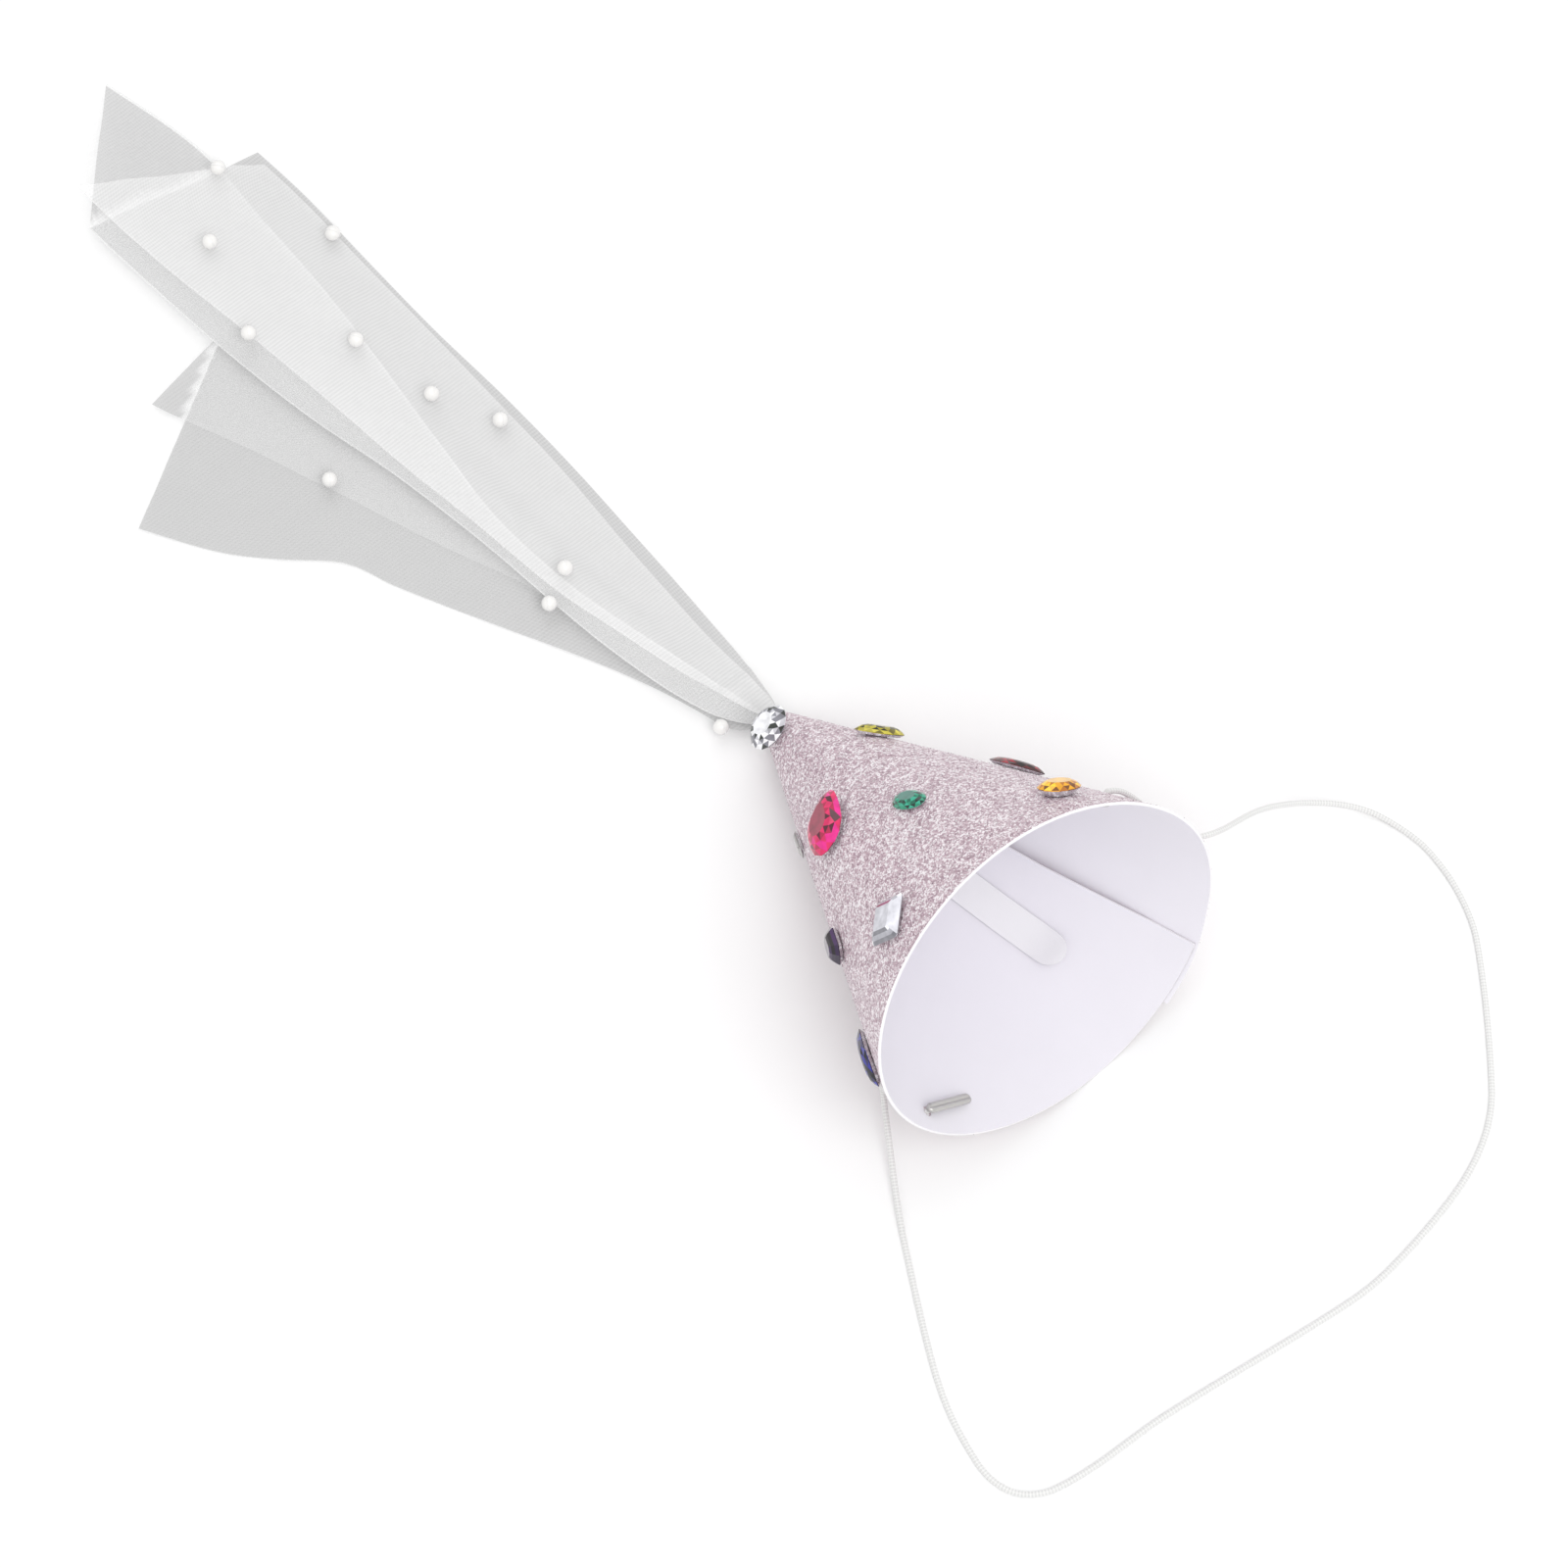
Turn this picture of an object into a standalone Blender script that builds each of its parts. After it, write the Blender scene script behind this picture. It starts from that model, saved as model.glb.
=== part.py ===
"""Paper party hat lying on its side.

A cone rolled from one card with a lapped seam, a locking tongue inside, glued flat-backed stones,
a sheer veil in two folded panels with sewn pearls, and a thin elastic held by two metal tips.
Metres, +Z up, z = 0 is the surface that the hat lies on. Tables are in millimetres and degrees.
"""
import math

import bmesh
import bpy
from mathutils import Matrix, Vector
from mathutils.bvhtree import BVHTree

MM = 0.001
GAP = 0.3                    # clearance between touching pieces

# Place of the cone's imagined point on the surface
TIP_X = 65.7
TIP_Y = 23.4

# Card cone
SLANT = 143.7                # from the imagined point to the rim
TIP_CUT = 12.0               # the point is cut off here, which leaves the hole for the veil
CARD = 0.8                   # thickness of the card
HALF_ANGLE = 22.6            # mean angle between the axis and the wall
OVAL = -0.9                  # the mouth is slightly out of round, by this many degrees
EGG_TOP = 0.25
EGG_SIDE = 0.15
AXIS_LIFT = 22.49            # the axis stands this far off the surface, with the wall lying on it
SEAM = 129.6                 # edge of the inner layer, counted from the top of the lying cone
LAP = 19.2                   # the two layers of card overlap over this angle
LAP_RAMP = 26.0              # the inner layer comes back out over this angle
LAP_SLIP = 1.2               # the outer layer stands past the inner one at the rim
SEAM_LIFT = 2.2              # the edge of the inner layer springs up this far
SEAM_LIFT_AT = 96.0
SEAM_LIFT_SPAN = 34.0

# Locking tongue, a strip that lies on the inside of the wall
TONGUE_FROM = 50.0
TONGUE_TO = 115.2
TONGUE_WIDTH = 10.2
TONGUE_ANGLE = 156.8
TONGUE_DRIFT = 0.12          # degrees for each millimetre towards the point

# Veil
CLOTH = 1.0
LAYER = CLOTH + GAP
NECK_SQUEEZE = 0.40          # the layers are pressed together where they enter the cone
NECK_LIFT = 2.75             # and they stand this far off the surface there
NECK_CLEAR = 0.2             # keeps the two panels apart where they are pressed together
NECK_END = -15.0             # along: away from the cone is positive, 0 at the imagined point
NECK_FREE = 30.0

# Elastic and its metal tips
CORD = 1.6
CORD_HOLE = 3.0
CORD_START = 1.1             # the elastic starts this far inside the wall, against its metal tip
METAL_TIP = 19.4
METAL_TIP_WIDTH = 3.1
METAL_TIP_HIGH = 2.2
# Slant and angle of each hole, and of the middle of each metal tip with its turn from the rim
NEAR_HOLE = (137.4, -118.2)
FAR_HOLE = (125.3, 59.4)
METAL_TIPS = (
    ("metal_tip_near", 135.5, -127.3, -12.0),
    ("metal_tip_far", 127.2, 49.4, 15.0),
)

PEARL = 4.6
PEARL_CLEAR = 0.5            # a pearl's clearance, more than GAP because its seat is sampled

SEAT_RINGS = (0.0, 0.4, 0.7, 0.9, 1.0)   # samples that show how low a pearl can sit

# The upper panel: across is towards +Y. One row for each place along the veil.
UPPER_COLUMNS = ("along", "right_edge", "inner_edge", "top_fold", "low_fold", "bottom_fold")
UPPER_ROWS = (
    (-15.0, 2.0, 1.9, -0.6, -0.2, -2.0),
    (-9.0, 2.0, 1.9, -0.6, -0.2, -2.0),
    (-4.0, 3.6, 3.0, -1.8, -2.6, -6.8),
    (2.0, 4.4, 3.0, -3.4, -5.0, -11.0),
    (8.0, 5.0, 2.8, -5.0, -7.0, -13.6),
    (20.0, 5.8, 2.4, -8.4, -11.4, -17.4),
    (40.0, 6.2, 2.2, -14.2, -17.0, -22.0),
    (60.0, 6.2, 2.2, -19.0, -22.4, -25.2),
    (90.0, 6.0, 2.8, -22.2, -27.2, -29.6),
    (120.0, 4.6, 1.8, -20.2, -32.4, -35.6),
    (150.0, 2.2, 0.6, -17.4, -36.6, -43.4),
    (180.0, 0.8, -0.8, -15.6, -41.2, -49.0),
    (210.0, -0.4, -2.2, -15.6, -46.4, -53.0),
    (240.0, -3.6, -5.4, -15.8, -50.2, -56.0),
    (276.0, -8.0, -10.0, -24.2, -52.0, -58.0),
)
UPPER_ENDS = {"right_edge": 229.0, "inner_edge": 224.0, "top_fold": 275.0, "low_fold": 250.0,
              "bottom_fold": 239.0}
UPPER_ORDER = ("right_edge", "bottom_fold", "top_fold", "low_fold", "inner_edge")

# The lower panel lies under it
LOWER_COLUMNS = ("along", "cut_edge", "back_fold", "front_edge")
LOWER_ROWS = (
    (-15.0, -1.9, 1.6, -1.7),
    (-9.0, -1.9, 1.6, -1.7),
    (-4.0, -9.4, -0.6, -4.4),
    (2.0, -12.4, -4.0, -7.0),
    (8.0, -14.2, -8.0, -9.4),
    (20.0, -18.4, -12.8, -14.4),
    (33.0, -24.2, -16.6, -18.6),
    (48.0, -32.0, -20.0, -22.2),
    (68.0, -43.0, -22.8, -27.2),
    (93.0, -56.2, -26.2, -38.2),
    (108.0, -63.2, -29.4, -44.4),
    (121.0, -77.0, -32.0, -49.4),
    (133.0, -88.2, -35.0, -54.4),
    (154.0, -102.0, -40.6, -63.0),
    (183.0, -120.0, -45.4, -76.0),
    (200.0, -130.0, -47.6, -80.0),
)
LOWER_ENDS = {"cut_edge": 154.0, "back_fold": 188.0, "front_edge": 182.5}
LOWER_ORDER = ("cut_edge", "back_fold", "front_edge")

# Pearls by their place along and across the veil
PEARLS = (
    ("pearl_end", 229.2, -15.9),
    ("pearl_right_far", 191.9, -2.4),
    ("pearl_bright_far", 210.5, -32.7),
    ("pearl_fold_far", 179.4, -42.0),
    ("pearl_bright_mid", 158.9, -18.8),
    ("pearl_right_mid", 131.8, -12.3),
    ("pearl_right_near", 113.3, -1.8),
    ("pearl_lower", 129.7, -51.2),
    ("pearl_fold_near", 58.9, -26.9),
    ("pearl_bright_near", 63.4, -17.4),
    ("pearl_neck", -0.6, -12.8),
)

# Stones: place on the wall, turn of the long side from the slant line, tilt about the long side
STONE_COLUMNS = ("name", "cut", "long", "wide", "high", "slant", "angle", "turn", "tilt", "colour")
STONES = (
    ("stone_ruby_drop", "drop", 19.4, 14.0, 4.3, 75.4, -36.6, 134.0, 6.0, (0.62, 0.01, 0.09)),
    ("stone_green_oval", "oval", 11.4, 7.2, 2.6, 98.0, -4.4, 23.0, 0.0, (0.01, 0.22, 0.13)),
    ("stone_olive_navette", "navette", 15.0, 7.6, 2.7, 50.0, 45.2, 66.0, 0.0, (0.42, 0.36, 0.02)),
    ("stone_dark_red", "navette", 17.8, 8.8, 2.4, 93.6, 61.5, 5.5, 0.0, (0.10, 0.005, 0.01)),
    ("stone_amber_oval", "high oval", 12.6, 8.8, 3.6, 130.0, 30.0, 82.0, 0.0, (0.80, 0.36, 0.01)),
    ("stone_clear_step", "step", 12.4, 11.6, 3.0, 128.0, -37.4, 135.0, 0.0, (0.80, 0.80, 0.84)),
    ("stone_violet_octagon", "octagon", 10.8, 7.6, 3.3, 102.0, -71.0, -2.0, 0.0, (0.05, 0.01, 0.09)),
    ("stone_navy_navette", "navette", 20.0, 8.6, 2.9, 129.4, -90.0, 1.5, 0.0, (0.01, 0.01, 0.10)),
    ("stone_grey_small", "step", 8.0, 4.0, 1.4, 56.2, -82.0, 9.0, 0.0, (0.50, 0.50, 0.52)),
)

# The clear stone over the cut point
TIP_STONE_PLACE = (13.1, -4.9, 14.6)
TIP_STONE_FACES = (-0.36, -0.34, 0.87)
TIP_STONE_LONG = (-0.32, 0.93, 0.2)
TIP_STONE_SIZE = (13.8, 10.0, 4.8)

# Elastic from the near hole round the surface to the far hole, by hand
CORD_NEAR = (
    (126.6, -48.0, 24.8), (123.4, -49.0, 22.8), (114.2, -47.6, 16.4), (111.2, -47.0, 12.8),
    (111.4, -46.8, 9.6), (114.4, -48.6, 7.2), (136.0, -62.2, 1.9),
)
CORD_LAID = (
    (146.0, -68.0), (175.0, -83.0), (189.0, -88.6),
    (203.0, -91.6), (209.5, -91.8), (215.4, -90.0), (219.6, -86.4), (222.6, -80.6), (224.8, -68.0),
    (226.4, -46.0), (235.0, 14.0), (235.0, 30.0), (230.6, 57.0), (224.4, 72.6),
    (215.4, 83.6), (182.0, 109.0), (168.0, 114.8), (154.0, 116.6), (144.4, 115.2),
)
CORD_FAR = (
    (135.2, 111.6, 1.6), (128.6, 106.0, 3.6), (123.2, 98.2, 7.4), (119.8, 89.6, 13.4),
    (118.4, 81.0, 20.4), (118.2, 62.4, 34.8),
)
CORD_WALL = ((130.4, 98.0, 2.4), (129.6, 88.0, 1.3), (128.4, 77.0, 1.3), (126.4, 66.0, 1.8))


def clear_scene():
    for item in list(bpy.data.objects):
        bpy.data.objects.remove(item, do_unlink=True)


def make_collection(name):
    group = bpy.data.collections.new(name)
    bpy.context.scene.collection.children.link(group)
    return group


def make_material(name, colour, roughness=0.5, metallic=0.0):
    material = bpy.data.materials.new(name)
    material.use_nodes = True
    shader = material.node_tree.nodes["Principled BSDF"]
    shader.inputs["Base Color"].default_value = (*colour, 1.0)
    shader.inputs["Roughness"].default_value = roughness
    shader.inputs["Metallic"].default_value = metallic
    return material


def make_object(name, data, group, material=None):
    item = bpy.data.objects.new(name, data)
    if material is not None:
        data.materials.append(material)
    group.objects.link(item)
    return item


def smooth_step(value):
    value = min(1.0, max(0.0, value))
    return value * value * (3.0 - 2.0 * value)


def interpolate(rows, columns, column, along):
    """Read one column of a table at a place between its rows, on a smooth curve."""
    index = columns.index(column)
    last = len(rows) - 1
    for i in range(last):
        if along <= rows[i + 1][0] or i == last - 1:
            break
    a, b = rows[i], rows[i + 1]
    before, after = rows[max(0, i - 1)], rows[min(last, i + 2)]
    span = b[0] - a[0]
    t = (along - a[0]) / span
    slope_a = (b[index] - before[index]) / (b[0] - before[0]) * span
    slope_b = (after[index] - a[index]) / (after[0] - a[0]) * span
    return ((2 * t ** 3 - 3 * t ** 2 + 1) * a[index] + (t ** 3 - 2 * t ** 2 + t) * slope_a
            + (3 * t ** 2 - 2 * t ** 3) * b[index] + (t ** 3 - t ** 2) * slope_b)


def grid_mesh(name, rows):
    """An open sheet from rows of points that all have the same length, in millimetres."""
    mesh = bpy.data.meshes.new(name)
    bm = bmesh.new()
    verts = [[bm.verts.new(Vector(p) * MM) for p in row] for row in rows]
    for lower, upper in zip(verts, verts[1:]):
        for i in range(len(lower) - 1):
            bm.faces.new((lower[i], lower[i + 1], upper[i + 1], upper[i]))
    bm.to_mesh(mesh)
    bm.free()
    return mesh


def shade(mesh, degrees=30.0):
    mesh.shade_smooth()
    mesh.set_sharp_from_angle(angle=math.radians(degrees))


def thicken(item, thickness, offset):
    solidify = item.modifiers.new("thickness", "SOLIDIFY")
    solidify.thickness = thickness * MM
    solidify.offset = offset
    solidify.use_even_offset = True
    solidify.use_quality_normals = True
    return solidify


def wall_direction(angle, extra=0.0):
    """Unit vector from the imagined point along the wall; extra degrees lean it off the axis."""
    turn = math.radians(angle)
    half = math.radians(HALF_ANGLE + OVAL * math.sin(2 * turn) + EGG_TOP * math.cos(3 * turn)
                        + EGG_SIDE * math.sin(3 * turn) + extra)
    lift = math.radians(AXIS_LIFT)
    axis = Vector((math.cos(lift), 0.0, math.sin(lift)))
    up = Vector((-math.sin(lift), 0.0, math.cos(lift)))
    side = Vector((0.0, 1.0, 0.0))
    return axis * math.cos(half) + (up * math.cos(turn) + side * math.sin(turn)) * math.sin(half)


def wall_point(slant, angle, depth=0.0):
    """A point on the outside of the cone, or depth millimetres inside it."""
    lean = -math.degrees(depth / slant)
    place = wall_direction(angle, lean) * slant
    return Vector((place.x + TIP_X, place.y + TIP_Y, place.z))


def wall_normal(slant, angle):
    """The outward normal of the wall."""
    across = wall_point(slant, angle + 0.5) - wall_point(slant, angle - 0.5)
    normal = across.cross(wall_direction(angle))
    if normal.dot(wall_direction(angle) - wall_direction(angle + 180.0)) < 0.0:
        normal = -normal
    return normal.normalized()


def layer_depth(slant, turned):
    """How far inside the outer face the card runs, at an angle past the seam edge."""
    hold = LAP + 4.0
    depth = (CARD + GAP) * (1.0 - smooth_step((turned - hold) / LAP_RAMP))
    spring = SEAM_LIFT * max(0.0, 1.0 - abs(slant - SEAM_LIFT_AT) / SEAM_LIFT_SPAN) ** 0.8
    return depth + spring * max(0.0, 1.0 - turned / (LAP * 1.3)) ** 1.5


def build_card(group, cutters):
    turns = [i * (360.0 + LAP) / 72.0 for i in range(73)]
    slants = [TIP_CUT, 24.0, 42.0, 62.0, 74.0, 86.0, 96.0, 108.0, 120.0, 131.0]
    rows = []
    for slant in slants + [SLANT]:
        row = []
        for turned in turns:
            reach = slant
            if slant == SLANT:
                reach += LAP_SLIP * smooth_step((turned - 345.0) / (15.0 + 0.6 * LAP))
            row.append(wall_point(reach, SEAM + turned, layer_depth(reach, turned)))
        rows.append(row)
    mesh = grid_mesh("card_cone", rows)
    card = make_object("card_cone", mesh, group, make_material("glitter card", (0.75, 0.52, 0.58), 0.55))
    thicken(card, CARD, 1.0)
    for name, hole in (("near_hole", NEAR_HOLE), ("far_hole", FAR_HOLE)):
        cutter = build_hole_cutter(name, hole, cutters)
        cut = card.modifiers.new(name, "BOOLEAN")
        cut.operation = "DIFFERENCE"
        cut.solver = "EXACT"
        cut.object = cutter
    shade(mesh)
    return card


def build_hole_cutter(name, hole, cutters):
    bm = bmesh.new()
    bmesh.ops.create_cone(bm, cap_ends=True, segments=12, radius1=CORD_HOLE / 2 * MM,
                          radius2=CORD_HOLE / 2 * MM, depth=8.0 * MM)
    mesh = bpy.data.meshes.new(name)
    bm.to_mesh(mesh)
    bm.free()
    cutter = make_object(name, mesh, cutters)
    cutter.location = wall_point(*hole) * MM
    cutter.rotation_mode = "QUATERNION"
    cutter.rotation_quaternion = wall_normal(*hole).to_track_quat("Z", "Y")
    cutter.hide_render = True
    cutter.display_type = "WIRE"
    return cutter


def build_tongue(group):
    """A parallel-sided strip with a round end, lying on the inside of the inner layer."""
    round_end = TONGUE_WIDTH / 2
    stations = [TONGUE_FROM + (TONGUE_TO - round_end - TONGUE_FROM) * i / 6.0 for i in range(7)]
    stations += [TONGUE_TO - round_end * (1.0 - math.sin(math.radians(a))) for a in (25, 48, 68, 84)]
    rows = []
    for slant in stations:
        over = max(0.0, slant - (TONGUE_TO - round_end)) / round_end
        half_width = TONGUE_WIDTH / 2 * math.sqrt(1.0 - over * over)
        half_angle = math.degrees(half_width / (slant * math.sin(math.radians(HALF_ANGLE))))
        middle = TONGUE_ANGLE + (TONGUE_TO - slant) * TONGUE_DRIFT
        row = []
        for i in range(7):
            angle = middle + half_angle * (i / 3.0 - 1.0)
            depth = layer_depth(slant, angle - SEAM) + CARD + GAP * 1.3
            row.append(wall_point(slant, angle, depth))
        rows.append(row)
    mesh = grid_mesh("lock_tongue", rows)
    tongue = make_object("lock_tongue", mesh, group, make_material("white card", (0.86, 0.86, 0.87), 0.6))
    thicken(tongue, CARD * 0.75, 1.0)
    shade(mesh)
    return tongue


def neck_share(along):
    """0 where the veil enters the cone, 1 where it lies free."""
    return smooth_step((along - UPPER_ROWS[1][0]) / (NECK_FREE - UPPER_ROWS[1][0]))


def layer_scale(along):
    return NECK_SQUEEZE + (1.0 - NECK_SQUEEZE) * neck_share(along)


def veil_place(along, across, height):
    return (TIP_X - along, TIP_Y + across, height)


def panel_stations(end):
    """Places along one edge, closer together near the neck."""
    shares = (0.0, 0.2, 0.42, 0.62, 0.85, 1.2, 1.9, 3.0, 4.4, 5.8, 7.2, 8.6, 9.6, 10.0)
    return [NECK_END + (end - NECK_END) * share / 10.0 for share in shares]


def upper_base(along, across):
    """Height of the underside of the upper panel: it climbs onto the lower panel on one side."""
    right = interpolate(UPPER_ROWS, UPPER_COLUMNS, "right_edge", along)
    bottom = interpolate(UPPER_ROWS, UPPER_COLUMNS, "bottom_fold", along)
    share = (right - across) / (right - bottom)
    climb = 1.0 if along < 8.0 else smooth_step((share - 0.42) / 0.3)
    climb = max(climb, 1.0 - neck_share(along))
    return 2.0 * LAYER * layer_scale(along) * climb + NECK_CLEAR * (1.0 - neck_share(along))


def upper_sag(along, across, layer):
    """The top layer sinks onto the bottom one where nothing lies between them."""
    if layer < 3:
        return 0.0
    fold = interpolate(UPPER_ROWS, UPPER_COLUMNS, "top_fold", along)
    return 2.0 * LAYER * smooth_step((across - fold - 2.5) / 9.0) * neck_share(along)


def folded_sheet(name, rows, columns, ends, order, base, sag, steps):
    """A sheet that runs from edge to edge in order, turning over at each fold between them."""
    edges = {edge: panel_stations(ends[edge]) for edge in order}
    count = len(edges[order[0]])
    lines = []
    for j in range(count):
        line = []
        for layer in range(len(order) - 1):
            start, stop = order[layer], order[layer + 1]
            a_along, b_along = edges[start][j], edges[stop][j]
            a_across = interpolate(rows, columns, start, a_along)
            b_across = interpolate(rows, columns, stop, b_along)
            for k in range(steps + 1):
                share = k / steps
                along = a_along + (b_along - a_along) * share
                across = a_across + (b_across - a_across) * share
                scale = layer_scale(along)
                height = base(along, across) + (layer + 0.5) * LAYER * scale
                height += NECK_LIFT * (1.0 - neck_share(along)) - sag(along, across, layer)
                line.append(veil_place(along, across, height - GAP * 0.5 * scale))
            if layer < len(order) - 2:
                outward = 1.0 if b_across > a_across else -1.0
                turn = LAYER * layer_scale(b_along) / 2.0
                foot = line[-1]
                for degrees in (-45.0, 0.0, 45.0):
                    reach = turn * math.cos(math.radians(degrees)) * outward
                    rise = turn * (1.0 + math.sin(math.radians(degrees)))
                    line.append((foot[0], foot[1] + reach, foot[2] + rise))
        lines.append(line)
    return grid_mesh(name, lines)


def set_cloth_thickness(item):
    """The cloth is thinner where the neck presses it together."""
    solidify = thicken(item, CLOTH, 0.0)
    group = item.vertex_groups.new(name="thickness")
    for vertex in item.data.vertices:
        along = TIP_X - vertex.co.x / MM
        group.add([vertex.index], layer_scale(along), "REPLACE")
    solidify.vertex_group = "thickness"
    solidify.use_even_offset = False


def build_veil(group):
    cloth = make_material("white veil", (0.85, 0.85, 0.85), 0.8)
    lower_mesh = folded_sheet("veil_lower", LOWER_ROWS, LOWER_COLUMNS, LOWER_ENDS, LOWER_ORDER,
                              lambda along, across: 0.0, lambda along, across, layer: 0.0, 5)
    lower = make_object("veil_lower", lower_mesh, group, cloth)
    upper_mesh = folded_sheet("veil_upper", UPPER_ROWS, UPPER_COLUMNS, UPPER_ENDS, UPPER_ORDER,
                              upper_base, upper_sag, 6)
    upper = make_object("veil_upper", upper_mesh, group, cloth)
    for panel in (lower, upper):
        set_cloth_thickness(panel)
        shade(panel.data)
    return lower, upper


def evaluated_tree(item):
    depsgraph = bpy.context.evaluated_depsgraph_get()
    return BVHTree.FromObject(item, depsgraph)


def seat_height(trees, x, y, radius):
    """How high the middle of a ball stands when it rests on the veil, in metres."""
    best = radius
    clear = radius + PEARL_CLEAR * MM
    for ring in SEAT_RINGS:
        for i in range(24):
            angle = math.radians(i * 15.0)
            reach = clear * ring
            start = Vector((x + reach * math.cos(angle), y + reach * math.sin(angle), 0.05))
            for tree in trees:
                hit = tree.ray_cast(start, Vector((0.0, 0.0, -1.0)))[0]
                if hit is not None:
                    best = max(best, hit.z + math.sqrt(clear * clear - reach * reach))
    return best


def build_pearls(group, panels):
    material = make_material("pearl", (0.88, 0.87, 0.85), 0.25)
    trees = [evaluated_tree(panel) for panel in panels]
    radius = PEARL / 2 * MM
    for name, along, across in PEARLS:
        bm = bmesh.new()
        bmesh.ops.create_uvsphere(bm, u_segments=12, v_segments=8, radius=radius)
        mesh = bpy.data.meshes.new(name)
        bm.to_mesh(mesh)
        bm.free()
        mesh.shade_smooth()
        pearl = make_object(name, mesh, group, material)
        x = (TIP_X - along) * MM
        y = (TIP_Y + across) * MM
        pearl.location = (x, y, seat_height(trees, x, y, radius))


def stone_outline(cut):
    """Corners of a stone of length 2 and width 2."""
    if cut == "octagon":
        return [(1.0, 0.45), (0.6, 1.0), (-0.6, 1.0), (-1.0, 0.45), (-1.0, -0.45), (-0.6, -1.0),
                (0.6, -1.0), (1.0, -0.45)]
    if cut == "step":
        return [(1.0, 0.86), (0.88, 1.0), (-0.88, 1.0), (-1.0, 0.86), (-1.0, -0.86),
                (-0.88, -1.0), (0.88, -1.0), (1.0, -0.86)]
    corners = []
    for i in range(12):
        angle = 2.0 * math.pi * i / 12
        x, y = math.cos(angle), math.sin(angle)
        if cut == "navette":
            y *= 1.0 - 0.30 * abs(x)
        elif cut == "drop" and x > -0.15:
            y *= 1.0 - 0.42 * (x + 0.15)
        corners.append((x, y))
    return corners


def faceted_stone(name, cut, length, width, height):
    """Flat silvered back with a bevel up to the girdle, a row of crown facets and a table."""
    outline = stone_outline(cut)
    back, girdle = (0.70, 0.5) if cut == "high oval" else (0.84, 0.3)
    halfway = 0.0 if cut in ("octagon", "step") else 0.5
    levels = ((0.0, back, 0.0), (girdle, 1.0, 0.0), (0.68, 0.84, halfway), (1.0, 0.56, 0.0))
    bm = bmesh.new()
    for level, scale, shift in levels:
        for i, (x, y) in enumerate(outline):
            next_x, next_y = outline[(i + 1) % len(outline)]
            x, y = x + (next_x - x) * shift, y + (next_y - y) * shift
            bm.verts.new((x * scale * length / 2 * MM, y * scale * width / 2 * MM, level * height * MM))
    hull = bmesh.ops.convex_hull(bm, input=bm.verts)
    spare = {item for item in hull["geom_interior"] + hull["geom_unused"]
             if isinstance(item, bmesh.types.BMVert)}
    if spare:
        bmesh.ops.delete(bm, geom=list(spare), context="VERTS")
    bmesh.ops.recalc_face_normals(bm, faces=bm.faces)
    mesh = bpy.data.meshes.new(name)
    bm.to_mesh(mesh)
    bm.free()
    return mesh


def frame_from(normal, long_side):
    """Rotation whose Z is the normal and whose X lies along the long side."""
    z = Vector(normal).normalized()
    x = Vector(long_side)
    x = (x - z * x.dot(z)).normalized()
    y = z.cross(x)
    return Matrix((x, y, z)).transposed()


def build_stones(group):
    for name, cut, length, width, height, slant, angle, turn, tilt, colour in STONES:
        mesh = faceted_stone(name, cut, length, width, height)
        stone = make_object(name, mesh, group, make_material(name, colour, 0.08))
        normal = wall_normal(slant, angle)
        along = Matrix.Rotation(math.radians(turn), 3, normal) @ wall_direction(angle)
        tipped = Matrix.Rotation(math.radians(tilt), 3, along) @ normal
        rise = GAP + width / 2 * abs(math.sin(math.radians(tilt)))
        place = wall_point(slant, angle) + normal * rise
        stone.matrix_world = Matrix.Translation(place * MM) @ frame_from(tipped, along).to_4x4()
    length, width, height = TIP_STONE_SIZE
    mesh = faceted_stone("stone_clear_tip", "oval", length, width, height)
    stone = make_object("stone_clear_tip", mesh, group, make_material("clear stone", (0.8, 0.8, 0.82), 0.06))
    place = Vector(TIP_STONE_PLACE) + Vector((TIP_X, TIP_Y, 0.0))
    turn = frame_from(TIP_STONE_FACES, TIP_STONE_LONG).to_4x4()
    stone.matrix_world = Matrix.Translation(place * MM) @ turn


def grooved_bar(name, length, width, high):
    """A crimped metal tip: a round-ended bar with a groove down its face, along X."""
    radius = width / 2
    rings = []
    for share, scale in ((-1.0, 0.45), (-0.96, 0.8), (-0.88, 1.0), (0.88, 1.0), (0.96, 0.8), (1.0, 0.45)):
        ring = []
        for i in range(16):
            angle = 2.0 * math.pi * i / 16
            reach = radius * scale * (0.5 if i == 4 else 1.0)
            rise = reach * math.sin(angle) * high / width
            ring.append((share * length / 2, reach * math.cos(angle), rise))
        rings.append(ring)
    bm = bmesh.new()
    loops = [[bm.verts.new(Vector(p) * MM) for p in ring] for ring in rings]
    for lower, upper in zip(loops, loops[1:]):
        for i in range(16):
            bm.faces.new((lower[i], lower[(i + 1) % 16], upper[(i + 1) % 16], upper[i]))
    bm.faces.new(loops[0])
    bm.faces.new(list(reversed(loops[-1])))
    bmesh.ops.recalc_face_normals(bm, faces=bm.faces)
    mesh = bpy.data.meshes.new(name)
    bm.to_mesh(mesh)
    bm.free()
    return mesh


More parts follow.
